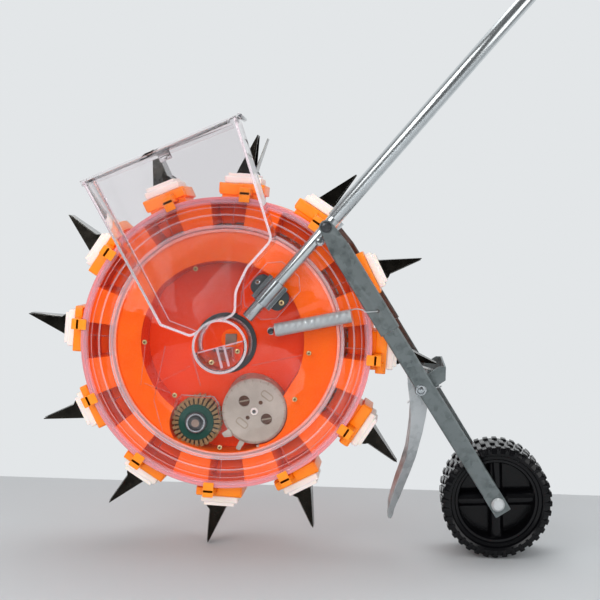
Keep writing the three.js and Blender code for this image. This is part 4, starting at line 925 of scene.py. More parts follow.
@dataclass
class Drum:
    """Orange rim with twelve compartments and seats, closed by a clear ring and an orange ring."""

    radius: float = 191.5
    half_width: float = 62.7
    wall: float = 3.2
    inner: float = 152.6
    block_front: float = -56.7
    floor_front: float = 17.3
    phase: float = -2.4
    count: int = 12
    half_facet: float = 3.75
    plate_inner: float = 63.0
    plate_outer: float = 66.0
    lip_face: float = 67.2
    track: float = 150.0
    rib_sides: Point = (3.1, 4.7)

    def seat_angle(self, i: int) -> float:
        """Gives the angle of a seat in degrees."""
        return self.phase + 360.0 / self.count * i

    def around(self) -> list[Matrix]:
        """Gives the turn that brings a piece drawn along +X to each seat."""
        return [turn(self.seat_angle(i)) for i in range(self.count)]

    def build(self) -> None:
        """Builds the drum's pieces."""
        self.rim()
        self.seats()
        self.clear_ring()
        self.rear_ring()

    def rim(self) -> None:
        """Rim, compartment floors, the blocks between the compartments and their liners."""
        edge, back = self.radius, self.floor_front
        rim = ring("rim", edge, edge - self.wall, -self.half_width, self.half_width, 0.9, steps=192)
        floor = ring("floor", edge - 2, self.inner - 1, back, back + self.wall, 0.3, steps=144)
        # The compartment floors and liners are painted a deeper orange as shade.
        parts = [paint(rim, Coat.ABS), paint(floor, Coat.ABS_CELL_SHADE)]
        start, end = 3 * self.half_facet, 7 * self.half_facet
        outline = rounded(sector(self.inner, edge - 2.6, start, end, 6), 1.2, 3)
        block = paint(plate("block", outline, self.block_front, back + 1, 1.0, 3), Coat.ABS)
        parts.append(repeated(block, "blocks", self.around()))
        groove = sector(edge - self.wall - 0.8, edge - 2, -self.half_facet, start, 6)
        liner = paint(plate("liner", groove, self.block_front - 4, back + 1), Coat.ABS_CELL_SHADE)
        parts.append(repeated(liner, "liners", self.around()))
        fit(merged("drum_rim", parts), "drum", Slot.ORANGE, "drum_ring")

    def seats(self) -> None:
        """Seats of the openers, each with a tab over the clear ring."""
        # Each block's name, its sides in X and Z, the radius of its corners, its faces and its edges
        blocks = (
            ("bar", (197, 211, -30.5, 30.5), 1.6, -32, 32, 1.1),
            ("step", (195.4, 209.4, -2.4, 29), 1.2, -34.4, -30, 1.0),
            ("leg", (194.5, 204.5, -16.5, -2.5), 1.0, -69.9, -31, 1.0),
            ("tab", (185, 199, -16.5, -2.5), 1.6, -69.9, -67.5, 0.8),
            ("foot", (198.5, 208.5, -29.5, -15.5), 1.2, -40.5, -31, 1.0),
        )
        parts = [plate("neck", box(189.6, 199, -26, 26), -31.5, 31.5, 1.0)]
        for name, sides, radius, front, back, edge in blocks:
            parts.append(plate(name, rounded(box(*sides), radius, 3), front, back, edge, 3))
        # The seats are painted a lighter orange, which stands for direct light on them.
        seat = merged("seat", painted(parts, Coat.ABS_SEAT_LIT))
        fit(repeated(seat, "opener_seats", self.around()), "drum", Slot.ORANGE)

    def clear_ring(self) -> None:
        """Clear ring over the compartments with its lips, a round rib and radial ribs."""
        out, back, lip, edge = -self.plate_outer, -self.plate_inner, -self.lip_face, self.radius
        profile = [(edge, back), (edge, lip), (edge - 3.4, lip), (edge - 3.6, out)]
        for line in (183.4, 178.4):
            profile += [(line, out), (line - 0.3, out - 0.5), (line - 0.8, out - 0.5), (line - 1.1, out)]
        profile += [(169, out), (168.5, out - 0.8), (167.3, out - 0.8), (166.8, out)]
        profile += [(154.6, out), (154.2, lip + 0.2), (151.4, lip + 0.2)]
        profile += [(self.track, out + 0.6), (self.track, back)]
        profile += [(152.4, back), (152.8, back + 2.0), (154.2, back + 2.0), (154.6, back)]
        profile += [(185.2, back), (185.6, back + 1.2), (187.4, back + 1.2), (187.8, back)]
        shell = lathe("clear_ring", rounded(profile, 0.3, 2), steps=192)
        rib = plate("rib", box(154.5, 186.0, *self.rib_sides), back - 0.5, back + 2.4, 0.3)
        ribs = repeated(rib, "ring_ribs", self.around())
        parts = [clear(shell, self.lip_face - 0.4), clear(ribs)]
        fit(merged("clear_ring", parts), "drum", Slot.CLEAR, "front_ring")

    def rear_ring(self) -> None:
        """Orange ring behind the drum, with a lip, low ribs and the internal gear."""
        out, back, edge = self.plate_outer, self.plate_inner, self.radius
        profile = [(edge, back), (edge, out + 1.0), (edge - 4, out + 1.0), (edge - 4.3, out)]
        profile += [(171, out), (170.6, out + 0.8), (168.4, out + 0.8), (168, out)]
        profile += [(154.8, out), (154.4, out + 1.0), (151.2, out + 1.0)]
        profile += [(self.track, out), (self.track, back)]
        shell = paint(lathe("rear_shell", rounded(profile, 0.35, 2), steps=192), Coat.ABS)
        rib = plate("rear_rib", box(155, 187, *self.rib_sides), out - 0.5, out + 0.9, 0.3)
        ribs = repeated(paint(rib, Coat.ABS), "rear_ribs", self.around())
        teeth = paint(InternalGear().build("ring_gear"), Coat.NYLON)
        fit(merged("rear_ring_shell", [shell, ribs, teeth]), "drum", Slot.ORANGE, "rear_ring")


@dataclass
class InternalGear:
    """Sleeve with sixty inward teeth, which drives the seed wheel."""

    module: float = GEAR_MODULE
    teeth: int = 60
    phase: float = SEED_ANGLE
    face: float = 46.5
    back: float = 63.2
    narrowed: float = 0.82
    wall: float = 9.1

    def build(self, name: str) -> Piece:
        """Builds the sleeve by cutting its tooth outline from a disc.

        Args:
            name: the sleeve's name.

        Returns:
            The sleeve.
        """
        pitch = self.module * self.teeth / 2
        corners = ((-4.1, -2.05), (6.1, -1.15), (6.1, 1.15), (-4.1, 2.05))  # mm outwards, degrees aside
        outline = []
        for i in range(self.teeth):
            middle = self.phase + 360.0 * i / self.teeth
            for radius, side in corners:
                outline.append(polar(pitch + radius, middle + side * self.narrowed))
        sleeve = ring(name, pitch + self.wall, 0.0, self.face, self.back, 0.4, steps=144)
        return cut(sleeve, plate("spaces", outline, self.face - 5, self.back + 5))


# Openers


@dataclass
class Openers:
    """Twelve duckbill openers: nylon pad, folded steel bill and sprung flap."""

    drum: Drum
    pad_base: float = 211.3
    pad_top: float = 220.8
    base_half: float = 12.0
    tip_radius: float = 280.0
    lean: float = 2.75
    base_depth: float = 20.0
    tip_depth: float = 10.0
    sheet: float = 1.5
    hinge_rise: float = 5.2
    hinge_set: float = 2.2
    cheek: float = 2.9

    def __post_init__(self) -> None:
        """Works out the tip and the hinge from the sizes."""
        self.tip = self.tip_radius * math.cos(math.radians(self.lean))
        self.tip_side = -self.tip_radius * math.sin(math.radians(self.lean))
        hinge = self.pad_top + self.hinge_rise
        self.hinge = (hinge, self.leading(hinge) - self.hinge_set)

    def share(self, radius: float) -> float:
        """Gives how far a radius is from the pad to the tip."""
        return (radius - self.pad_top) / (self.tip - self.pad_top)

    def leading(self, radius: float) -> float:
        """Gives the leading edge's place across the bill."""
        return -self.base_half + self.share(radius) * (self.tip_side - 0.5 + self.base_half)

    def trailing(self, radius: float) -> float:
        """Gives the trailing edge's place across the bill."""
        return self.base_half + self.share(radius) * (self.tip_side + 0.5 - self.base_half)

    def depth(self, radius: float) -> float:
        """Gives half the bill's depth along Y."""
        return self.base_depth + self.share(radius) * (self.tip_depth - self.base_depth)

    def build(self) -> None:
        """Builds one opener and one flap, and places the copies."""
        opener = merged("opener", [self.pad(), self.bill()])
        flap = self.flap()
        ajar = {1: 10.0, 3: 12.0, 4: 14.0}  # degrees, by the opener's number
        for i, move in enumerate(self.drum.around()):
            number = f"{i + 1:02d}"
            fit(copied(opener, f"opener_{number}", move), "drum", Slot.BILL, f"bill_{number}")
            swing = turn(-ajar.get(i + 1, 0.0), self.hinge)
            piece = copied(flap, f"opener_flap_{number}", move @ swing)
            fit(piece, f"flap_body_{number}", Slot.BRIGHT, f"flap_{number}")
        bpy.data.objects.remove(opener)
        bpy.data.objects.remove(flap)

    def pad(self) -> Piece:
        """Nylon pad with a raised collar round the bill."""
        top = self.pad_top
        base = plate("pad", box(self.pad_base, top, -25, 25), -27, 27, 2.2, 3)
        collar = plate("collar", box(top - 1, top + 4.3, -20.5, 20.5), -25.4, 25.4)
        cut(collar, plate("well", box(top - 0.4, top + 9, -16.6, 15.5), -21.6, 21.6))
        soften(collar, 0.9, 3)
        return merged("pad", painted([base, collar], Coat.NYLON))

    def bill(self) -> Piece:
        """Folded sheet, painted near black as shade, with painted highlights on its edges, open at its
        leading side, with lugs for the pin and two rivets.
        """
        hinge, lug = self.hinge[0], self.hinge[1] - self.cheek
        levels = [
            self.section(self.pad_top - 1.0, lug),
            self.section(hinge + 0.4 * self.cheek, lug),
            self.section(hinge + self.cheek + 0.6, lug + 1.6),
        ]
        for radius in (hinge + self.cheek + 4.0, self.pad_top + 30.0, self.tip - 6.0, self.tip):
            levels.append(self.section(radius, self.leading(radius)))
        bill = skin("bill", levels)
        cut(bill, ring("pin_hole", 1.8, 0.0, -30, 30, 0.0, self.hinge, 20))
        paint(bill, Coat.BILL, Coat.BILL_EDGE_HIGHLIGHT)
        # The rounded edges get the light edge steel, a painted highlight.
        soften(bill, 0.6, 2, edge_slot=1)
        rivets, spot = [], (self.pad_top + 5.5, 5.0)
        for side in (-1, 1):
            # The rivets take the same near-black painted shade.
            rivets.append(ring("rivet", 2.3, 0.0, side * 19.2, side * 20.6, 0.5, spot, 20))
        return merged("bill", [bill, *painted(rivets, Coat.BILL)])

    def section(self, radius: float, lead: float) -> list[Vector]:
        """Gives the folded sheet's section, a channel open at its leading side.

        Args:
            radius: distance from the drum's axis.
            lead: place of its leading edges across the bill.

        Returns:
            The section's corners.
        """
        trail, half, sheet = self.trailing(radius), self.depth(radius), self.sheet
        inner = max(lead + 0.15, trail - sheet)
        wall = min(sheet, 0.6 * half)
        run = [(lead, half), (trail, half), (trail, -half), (lead, -half)]
        run += [(lead, -half + wall), (inner, -half + wall), (inner, half - wall), (lead, half - wall)]
        return [at(radius, y, z) for z, y in run]

    def flap(self) -> Piece:
        """Tapered flap, closed, with a rolled hinge and its pin."""
        levels = []
        for radius, thickness in ((self.pad_top + 3.5, 1.3), (self.pad_top + 32, 1.2), (self.tip - 2.0, 1.0)):
            inner = self.leading(radius) - 0.3
            half = self.depth(radius) - 2.2
            run = [(inner - thickness, half), (inner, half), (inner, -half), (inner - thickness, -half)]
            levels.append([at(radius, y, z) for z, y in run])
        # The flap's rounded edges get the same painted highlight.
        sheet = paint(skin("flap", levels), Coat.FLAP, Coat.BILL_EDGE_HIGHLIGHT)
        soften(sheet, 0.35, 2, edge_slot=1)
        half = self.depth(self.hinge[0])
        roll = ring("roll", 2.5, 0.0, -half + 2.6, half - 2.6, 0.3, self.hinge, 28)
        pin = ring("pin", 1.5, 0.0, -half - 0.8, half + 0.8, 0.4, self.hinge, 20)
        return merged("flap", [sheet, paint(roll, Coat.FLAP), paint(pin, Coat.BILL)])


# Seed metering


@dataclass
class Metering:
    """Seed pan with the seed wheel, the brush and the scraper."""

    edge: float = -62.7
    land: float = -60.0
    floor: float = -20.0
    radius: float = 148.0
    wall: float = 3.0
    seed_reach: float = 99.0
    wheel_front: float = -58.5
    wheel_back: float = -22.0
    wheel_size: float = 43.0
    brush_reach: float = 79.2
    brush_angle: float = -167.2
    brush_front: float = -54.0
    spindle_end: float = 62.4
    scraper_angle: float = -71.0
    scraper_radius: float = 43.8
    screen_near: Point = (112.0, -10.0)
    screen_far: Point = (77.8, -67.6)

    def __post_init__(self) -> None:
        """Finds the centres of the seed wheel and the brush."""
        self.seed = polar(self.seed_reach, SEED_ANGLE)
        self.brush = polar(self.brush_reach, self.brush_angle, self.seed)

    def build(self) -> None:
        """Builds the metering pieces."""
        self.pan()
        self.seed_wheel()
        self.seed_pinion()
        self.brush_wheel()
        self.brush_spindle()
        self.scraper()

    def pan(self) -> None:
        """Pan: rim, land with its hollows, and the deeper floor with its bosses; the floor and the hollows'
        lower walls are painted a darker orange as shade.
        """
        size, floor = self.radius - 1.0, self.floor
        rim = ring("pan_rim", self.radius, self.radius - self.wall, self.edge, floor + 3, 0.7, steps=192)
        land = ring("pan_land", size, 0.0, self.land, floor + 0.5, 0.0, steps=128)
        cut(land, *self.hollows())
        base = ring("pan_floor", size, 0.0, floor, floor + 3, 0.0, steps=96)
        paint(rim, Coat.ABS)
        paint(base, Coat.ABS_RECESS_SHADE)
        paint(land, Coat.ABS, Coat.ABS_RECESS_SHADE)
        soften(land, 0.8, 3)
        # The floor, and the hollows' walls past this depth, get the darker orange as painted shade.
        deep = (self.land + 12) * MM  # from where the hollows' walls are darker
        for face in land.data.polygons:
            if abs(face.normal.y) < 0.5:
                face.material_index = int(face.center.y >= deep)
        bosses = []
        shafts = (("hub", AXIS, 14.0), ("seed", self.seed, 10.5), ("brush", self.brush, 10.5))
        for name, centre, radius in shafts:
            bosses.append(ring(f"{name}_boss", radius, 5.5, floor - 1.0, floor + 6, 0.6, centre, 40))
        parts = [rim, land, base, *painted(bosses, Coat.ABS)]
        fit(merged("seed_pan_shell", parts), "frame", Slot.ORANGE, "seed_pan")

    def hollows(self) -> list[Piece]:
        """Gives the tools that cut the recess, the wheel wells and the chute into the land."""
        front, back = self.land - 6.0, self.floor + 2.0
        (x, z), (x_far, z_far) = self.screen_near, self.screen_far
        slope = math.degrees(math.atan2(z_far - z, x_far - x))
        recess = ring("recess", 108.0, 0.0, front, back, 0.0, (-6.0, 0.0), 96)
        half_plane = turned(box(-300, 300, 0.0, 300), slope)
        cut(recess, plate("screen", shifted(half_plane, x, z), front - 5, back + 5))
        wheel = ring("wheel_well", 44.0, 0.0, front, back, 0.0, self.seed, 72)
        brush = ring("brush_well", 34.0, 0.0, front, back, 0.0, self.brush, 60)
        path = sector(self.seed_reach, 155.0, -108.0, self.scraper_angle, 6)
        return [recess, wheel, brush, plate("chute", path, front, back)]

    def seed_wheel(self) -> None:
        """Off-white seed wheel: pockets round its rim, holes, slots and ticks in its face."""
        front, back, size = self.wheel_front, self.wheel_back, self.wheel_size
        profile = [(5.3, front), (39.5, front), (size, front + 2.6), (size, back), (5.3, back)]
        wheel = lathe("seed_wheel", rounded(profile, [0.3, 0.6, 1.4, 0.6, 0.3], 3), self.seed, 120)
        paint(wheel, Coat.WHEEL)
        windows = [polar(19.0, angle, self.seed) for angle in (136.0, -30.0)]
        eyes = [polar(14.5, 55.0, self.seed), polar(11.9, -135.0, self.seed)]
        tools = []
        for i in range(8):
            ends = [polar(size + reach, 45.0 * i + 22.5, self.seed) for reach in (-4.5, 7)]
            tools.append(wire(f"pocket_{i}", [at(x, (front + back) / 2, z) for x, z in ends], 4.0, 16))
        tools += [ring("window", 7.4, 0.0, front - 5, front + 5, 0.0, centre, 40) for centre in windows]
        tools += [ring("eye", 2.8, 0.0, front - 5, front + 3, 0.0, centre, 20) for centre in eyes]
        cut(wheel, *tools)
        parts = [soften(wheel, 0.5, 2)]
        # Dark discs at the bottoms of the eyes and windows are painted shade, put where the holes show only
        # shade.
        for i, centre in enumerate(eyes):
            floor = ring(f"eye_shade_{i}", 2.9, 0.0, front + 1.6, front + 3.4, 0.0, centre, 20)
            parts.append(paint(floor, Coat.HOLE_SHADE))
        for i, centre in enumerate(windows):
            floor = ring(f"window_shade_{i}", 7.6, 0.0, front + 3.6, front + 5.5, 0.0, centre, 32)
            outline = shifted(turned(rounded(box(-6.6, 6.6, -0.8, 0.8), 0.4, 2), 12.0), *centre)
            bar = plate(f"window_bar_{i}", outline, front + 1.0, front + 4.0, 0.25)
            parts += [paint(floor, Coat.HOLE_SHADE), paint(bar, Coat.MARK)]
        for i, (reach, angle) in enumerate(((27.0, 52.0), (22.0, -135.0))):
            parts.append(self.oval(i, polar(reach, angle, self.seed)))
        parts.append(self.ticks())
        parts.append(Screw(2.6, 1.6, 1.0).build("wheel_pin", self.seed, front - 0.2, Coat.BRIGHT))
        fit(merged("seed_wheel_disc", parts), "seed_drive", Slot.NYLON, "seed_wheel")

    def oval(self, i: int, centre: Point) -> Piece:
        """Raised line in the shape of a slot on the seed wheel's face.

        Args:
            i: its number.
            centre: its middle.

        Returns:
            The line.
        """
        front, tilt = self.wheel_front, -36.0
        sizes = ((9.0, 4.6), (7.6, 3.2))  # half the length and half the width, outside and inside
        slots = [rounded(box(-long, long, -wide, wide), wide, 6) for long, wide in sizes]
        outer, inner = [shifted(turned(slot, tilt), *centre) for slot in slots]
        oval = plate(f"oval_{i}", outer, front - 0.5, front + 1.0)
        cut(oval, plate(f"oval_hole_{i}", inner, front - 3, front + 3))
        return paint(soften(oval, 0.2, 2), Coat.MARK)

    def ticks(self) -> Piece:
        """Scale of 24 ticks near the seed wheel's edge."""
        front = self.wheel_front
        tick = plate("tick", box(38.8, 42.0, -0.45, 0.45), front - 0.25, front + 3.5)
        tick.data.transform(Matrix.Translation(at(self.seed[0], 0.0, self.seed[1]) - HUB))
        turns = [turn(15.0 * i + 4.0, self.seed) for i in range(24)]
        return repeated(paint(tick, Coat.MARK), "ticks", turns)

    def seed_pinion(self) -> None:
        """Gear behind the pan and the seed wheel's shaft."""
        gear = SpurGear(20, SEED_ANGLE, 20.0).build("seed_pinion", self.seed)
        shaft = ring("seed_shaft", 5.0, 0.0, self.wheel_front + 0.4, self.spindle_end, 0.4, self.seed, 32)
        mount(merged("seed_pinion", [gear, shaft]), "seed_drive", Coat.NYLON, "seed_gear")

    def brush_wheel(self) -> None:
        """Green hub with tufts of bristles."""
        front, back = self.brush_front, -26.0
        hub = ring("brush_hub", 22.0, 5.3, front, back, 0.8, self.brush, 72)
        roots = ring("brush_roots", 29.5, 20.0, front + 5, back - 2, 0.4, self.brush, 72)
        face = ring("brush_face", 23.4, 15.0, front - 1.2, front + 4, 0.8, self.brush, 72)
        turns = [turn(360.0 * i / 28 + 3.0, self.brush) for i in range(28)]
        tufts = repeated(self.tuft(front, back), "tufts", turns)
        parts = [paint(hub, Coat.GREEN), paint(face, Coat.GREEN), paint(roots, Coat.BRISTLE_ROOT), tufts]
        fit(merged("brush", parts), "brush_drive", Slot.GREEN, "brush_wheel")

    def brush_spindle(self) -> None:
        """Brush's gear and shaft, with a washer, a collar and a hexagon bolt in front."""
        front = self.brush_front
        gear = SpurGear(12, self.brush_angle + 180 + 15, 9.0).build("brush_pinion", self.brush)
        shaft = ring("brush_shaft", 5.0, 0.0, front, self.spindle_end, 0.4, self.brush, 32)
        bright = painted([gear, shaft], Coat.BRIGHT)
        washer = ring("brush_washer", 14.2, 0.0, front - 2.9, front - 1.25, 0.5, self.brush, 48)
        collar = ring("brush_collar", 12.8, 9.6, front - 4.6, front - 2.4, 0.9, self.brush, 48)
        outline = [polar(9.9, 60 * i, self.brush) for i in range(6)]
        head = plate("brush_bolt", rounded(outline, 1.0, 2), front - 2.6, front - 6.2, 0.8, 3)
        crown = ring("brush_crown", 5.2, 0.0, front - 6.0, front - 6.9, 0.5, self.brush, 32)
        parts = [*bright, paint(washer, Coat.DARK), paint(collar, Coat.BRIGHT), paint(head, Coat.DARK)]
        parts.append(paint(crown, Coat.WORN))
        fit(merged("brush_spindle", parts), "brush_drive", Slot.BRIGHT, "brush_gear")

    def tuft(self, front: float, back: float) -> Piece:
        """One tuft along +X: rows of strands that fan out from the hub.

        Args:
            front: front face of the brush.
            back: back face of the brush.

        Returns:
            The tuft.
        """
        columns, rows = 3, 8
        strands = []
        for row in range(rows):
            for column in range(columns):
                spread = (column - (columns - 1) / 2) * 2.3 + 0.4 * math.sin(2.3 * row + column)
                y = front + 0.8 + (back - front - 1.6) * (row + 0.5 * (column % 2)) / rows
                foot = polar(21.0, spread * 0.8, self.brush)
                tip = polar(32.2 + 0.7 * math.sin(1.7 * row + 2.9 * column), spread * 1.05, self.brush)
                line = [at(foot[0], y, foot[1]), at(tip[0], y + 0.5, tip[1])]
                strands.append(wire("strand", line, 0.62, 4))
        return paint(merged("tuft", strands), Coat.BRISTLE)

    def scraper(self) -> None:
        """Small nylon blade that wipes the seed wheel, with a wing beside it."""
        off = math.radians(self.scraper_angle - SEED_ANGLE)
        beside = self.seed_reach * math.sin(off)
        reach = self.seed_reach * math.cos(off) + math.sqrt(self.scraper_radius**2 - beside**2)
        outline = [(reach, -4.3), (reach + 1, -0.3), (147.4, -0.3), (147.4, -4.3)]
        placed = turned(rounded(outline, 0.5, 2), self.scraper_angle)
        parts = [plate("scraper", placed, -56.0, -20.3, 0.5)]
        wing = [(6.9, -113.9), (-3.5, -120.9), (0.7, -126.0), (11.2, -124.4)]
        arm = [(20.5, -129.2), (27.5, -131.8), (21.1, -142.6), (15.7, -140.1)]
        for name, corners in (("scraper_wing", wing), ("scraper_arm", arm)):
            parts.append(plate(name, rounded(corners, 1.2, 3), -60.6, -58.9, 0.4))
        mount(merged("scraper", parts), "frame", Coat.WHEEL, "seed_scraper")


@dataclass
class SpurGear:
    """Small gear behind the pan."""

    teeth: int
    phase: float
    width: float
    module: float = GEAR_MODULE
    face: float = 36.0

    def build(self, name: str, centre: Point) -> Piece:
        """Builds the toothed wheel.

        Args:
            name: the gear's name.
            centre: its axis.

        Returns:
            The gear.
        """
        pitch, step = self.module * self.teeth / 2, 360.0 / self.teeth
        corners = ((-6.0, -0.34), (4.0, -0.1), (4.0, 0.1), (-6.0, 0.34))  # mm outwards, steps aside
        outline = []
        for i in range(self.teeth):
            for radius, side in corners:
                outline.append(polar(pitch + radius, self.phase + step * i + side * step, centre))
        return plate(name, outline, self.face, self.face + self.width, 0.4)


# Covers


@dataclass
class Covers:
    """Clear front cover with its guard and screws, and the plain rear cover."""

    metering: Metering
    tube_angle: float = 50.7
    tube_start: Point = (28.2, 34.3)
    pivot: float = 156.6
    radius: float = 149.28
    inner: float = 63.0
    outer: float = 66.0
    lip: float = 67.2
    boss: float = 69.0
    anchor: Point = (59.4, 18.0)

    def on_tube(self, station: float, across: float = 0.0) -> Point:
        """Gives a place beside the lower tube."""
        c, s = math.cos(math.radians(self.tube_angle)), math.sin(math.radians(self.tube_angle))
        return self.tube_start[0] + c * station - s * across, self.tube_start[1] + s * station + c * across

    def boss_outline(self) -> list[Point]:
        """Gives the outline of the raised seat under the clamp."""
        corners = [(8, -15), (22, -29), (70, -29), (84, -15), (84, 15), (70, 29), (22, 29), (8, 15)]
        return rounded([self.on_tube(s, a) for s, a in corners], 3.0, 3)

    def build(self) -> None:
        """Builds both covers."""
        self.front()
        self.rear()

    def front(self) -> None:
        """Clear cover: plate with a hub opening, lip, seat, ribs, guard and spring post."""
        out, back, lip = -self.outer, -self.inner, -self.lip
        profile = [(36.5, out), (self.radius - 3.8, out), (self.radius - 3.6, lip), (self.radius - 0.6, lip)]
        profile += [(self.radius, lip + 0.6), (self.radius, back), (36.5, back)]
        shell = lathe("cover", rounded(profile, 0.25, 2), steps=192)
        boss = plate("cover_boss", self.boss_outline(), out + 0.2, -self.boss, 0.8, 3)
        outside = [(34, 6), (31, 27), (24, 36.5), (-19, 37.5), (-26, 30), (-33, 6)]
        inside = [(31.4, 6), (28.6, 26), (22.8, 34), (-17.8, 35), (-23.6, 28.7), (-30.4, 6)]
        walls = shifted([*outside, *inside[::-1]], *self.metering.brush)
        guard = plate("guard", walls, back + 0.05, back + 2.7, 0.4)
        post = ring("post", 6.0, 0.0, -72.0, out + 0.2, 0.6, self.anchor, 32)
        smooth(cut(shell, boss, post, kind="UNION"))
        seat = self.band("seat_bead", self.boss_outline(), 1.5, -self.boss - 0.35, -self.boss - 0.02)
        parts = [shell, guard, seat]
        for i, (start, end) in enumerate(self.ribs()):
            parts.append(plate(f"cover_rib_{i}", strip(start, end, 0.7), back - 0.4, back + 1.2, 0.2))
        for part in parts:
            clear(part, self.lip - 0.2)
        fit(merged("front_cover_clear", parts), "frame", Slot.CLEAR, "front_cover")
        for i, centre in enumerate(self.screws()):
            screw = Screw().build(f"cover_screw_{i + 1}", centre, out - 0.02, Coat.BRASS)
            fit(screw, "frame", Slot.BRIGHT)
        self.anchor_screw()

    def anchor_screw(self) -> None:
        """Slotted screw on the post, which holds the spring's eye."""
        shank = ring("anchor_shank", 2.6, 0.0, -84.2, -71.8, 0.2, self.anchor, 24)
        head = ring("anchor_head", 3.9, 0.0, -87.2, -84.2, 0.9, self.anchor, 32)
        groove = shifted(turned(box(-8, 8, -0.7, 0.7), 30), *self.anchor)
        cut(head, plate("anchor_slot", groove, -90, -86))
        fit(merged("spring_anchor", painted([shank, head], Coat.DARK)), "frame", Slot.BRIGHT)

    def band(self, name: str, outline: Sequence[Point], width: float, y_from: float, y_to: float) -> Piece:
        """Builds a low bead that follows an outline on its inside.

        Args:
            name: the bead's name.
            outline: the outline.
            width: the bead's width.
            y_from: first face.
            y_to: second face.

        Returns:
            The bead.
        """
        middle = Vector((sum(x for x, _ in outline), sum(z for _, z in outline))) / len(outline)
        inside = []
        for x, z in outline:
            way = Vector((x, z)) - middle
            inside.append(tuple(middle + way * (1 - width / way.length)))
        bead = plate(name, outline, y_from, y_to)
        return soften(cut(bead, plate("inside", inside, y_from - 3, y_to + 3)), 0.12, 1)

    def screws(self) -> list[Point]:
        """Gives the places of the cover's screws."""
        return [(-43.7, 95.0), (-107.6, -3.2), (108.6, -10.6), (92.1, -71.8), (-65.9, -71.6), (-4.5, -138.1)]

    def ribs(self) -> list[tuple[Point, Point]]:
        """Gives the ends of the thin stiffening ribs behind the cover."""
        brush = self.metering.brush
        return [
            ((-81.5, -8.0), (-94.0, -80.0)),
            ((-48.0, -34.0), (-88.0, -56.0)),
            ((-46.5, -15.6), (-33.1, -58.7)),
            ((-107.0, -58.0), (-72.0, -70.0)),
            ((-94.0, -80.0), (brush[0] - 40.0, brush[1] - 20.0)),
            ((-107.6, -6.0), (-112.0, -60.0)),
            ((34.0, -30.0), (100.0, -14.0)),
        ]

    def rear(self) -> None:
        """Orange rear cover with its lip, hub boss, clamp seat, ribs and two bearings."""
        profile = [(8.3, self.inner), (8.3, self.boss), (28, self.boss), (30, 67.4), (30.6, self.outer)]
        profile += [(self.radius - 4, self.outer), (self.radius - 3.7, 67.0), (self.radius, 67.0)]
        profile += [(self.radius, self.inner)]
        shell = lathe("rear_shell", rounded(profile, 0.35, 2), steps=160)
        parts = [shell, plate("rear_boss", self.boss_outline(), self.outer - 0.2, self.boss, 0.9, 3)]
        for i in range(6):
            angle = 60 * i + 20
            outline = strip(polar(32, angle), polar(143, angle), 1.1)
            parts.append(plate(f"rear_cover_rib_{i}", outline, self.outer - 0.3, self.outer + 1.0, 0.4))
        for centre in (self.metering.seed, self.metering.brush):
            parts.append(ring("rear_bearing", 8.0, 5.8, 57.0, self.inner + 0.5, 0.4, centre, 32))
        fit(merged("rear_cover_shell", painted(parts, Coat.ABS)), "frame", Slot.ORANGE, "rear_cover")


@dataclass
class Hub:
    """Axle, seal and the outlet spout with its baffle."""

    spout_front: float = -123.2
    spout_tilt: float = 16.5

    def build(self) -> None:
        """Builds the hub's pieces."""
        head = plate("axle_head", rounded(box(-7.5, 7.5, -7.5, 7.5), 0.8, 2), -26.3, -20.3, 0.6)
        shank = ring("axle_shank", 8.0, 0.0, -21.0, 77.0, 0.6, steps=32)
        nut = HexHead(12.0, 5.2, 15.0).build("axle_nut", AXIS, 69.3, 1.0, Coat.BRIGHT)
        parts = [paint(head, Coat.WORN), paint(shank, Coat.DARK), nut]
        fit(merged("hub_axle_steel", parts), "frame", Slot.BRIGHT, "hub_axle")
        seal = ring("hub_seal_ring", 40.0, 33.0, -71.7, -66.3, 0.9, steps=96)
        mount(seal, "frame", Coat.RUBBER, "hub_seal")
        self.spout()

    def spout(self) -> None:
        """Clear spout, cut away above, with a half-moon baffle, two ribs, a bar and two screws."""
        front, tilt = self.spout_front, self.spout_tilt
        tube = ring("spout", 32.4, 30.0, front, -48.0, 0.4, steps=96)
        upper = turned(box(-80, 80, 0, 80), tilt)
        cut(tube, plate("mouth", upper, front - 5, -69.5))
        baffle = ring("baffle", 31.6, 0.0, front, front + 2.5, 0.3, steps=96)
        cut(baffle, plate("baffle_cut", upper, front - 5, front + 9))
        smooth(cut(tube, baffle, kind="UNION"))
        ribs = []
        for middle in (-4.6, 4.6):
            outline = turned(box(middle - 1.6, middle + 1.6, -27.5, -2.4), tilt)
            ribs.append(plate("spout_rib", outline, front + 2.6, front + 4.4, 0.5))
        bar = turned(box(-29.3, 29.3, -1.7, 0.0), tilt)
        ribs.append(plate("spout_bar", bar, front + 2.6, front + 4.6, 0.3))
        # The spout's ribs and bar take the edge finish, a painted highlight.
        parts = [clear(tube), *painted(ribs, Coat.CLEAR_EDGE_HIGHLIGHT)]
        fit(merged("outlet_spout_clear", parts), "frame", Slot.CLEAR, "outlet_spout")
        for i, centre in enumerate(((-9.4, -20.0), (23.0, -5.0))):
            screw = Screw(3.3, 2.2).build(f"outlet_screw_{i + 1}", centre, -126.02, Coat.BRASS)
            fit(screw, "frame", Slot.BRIGHT)


# Hopper


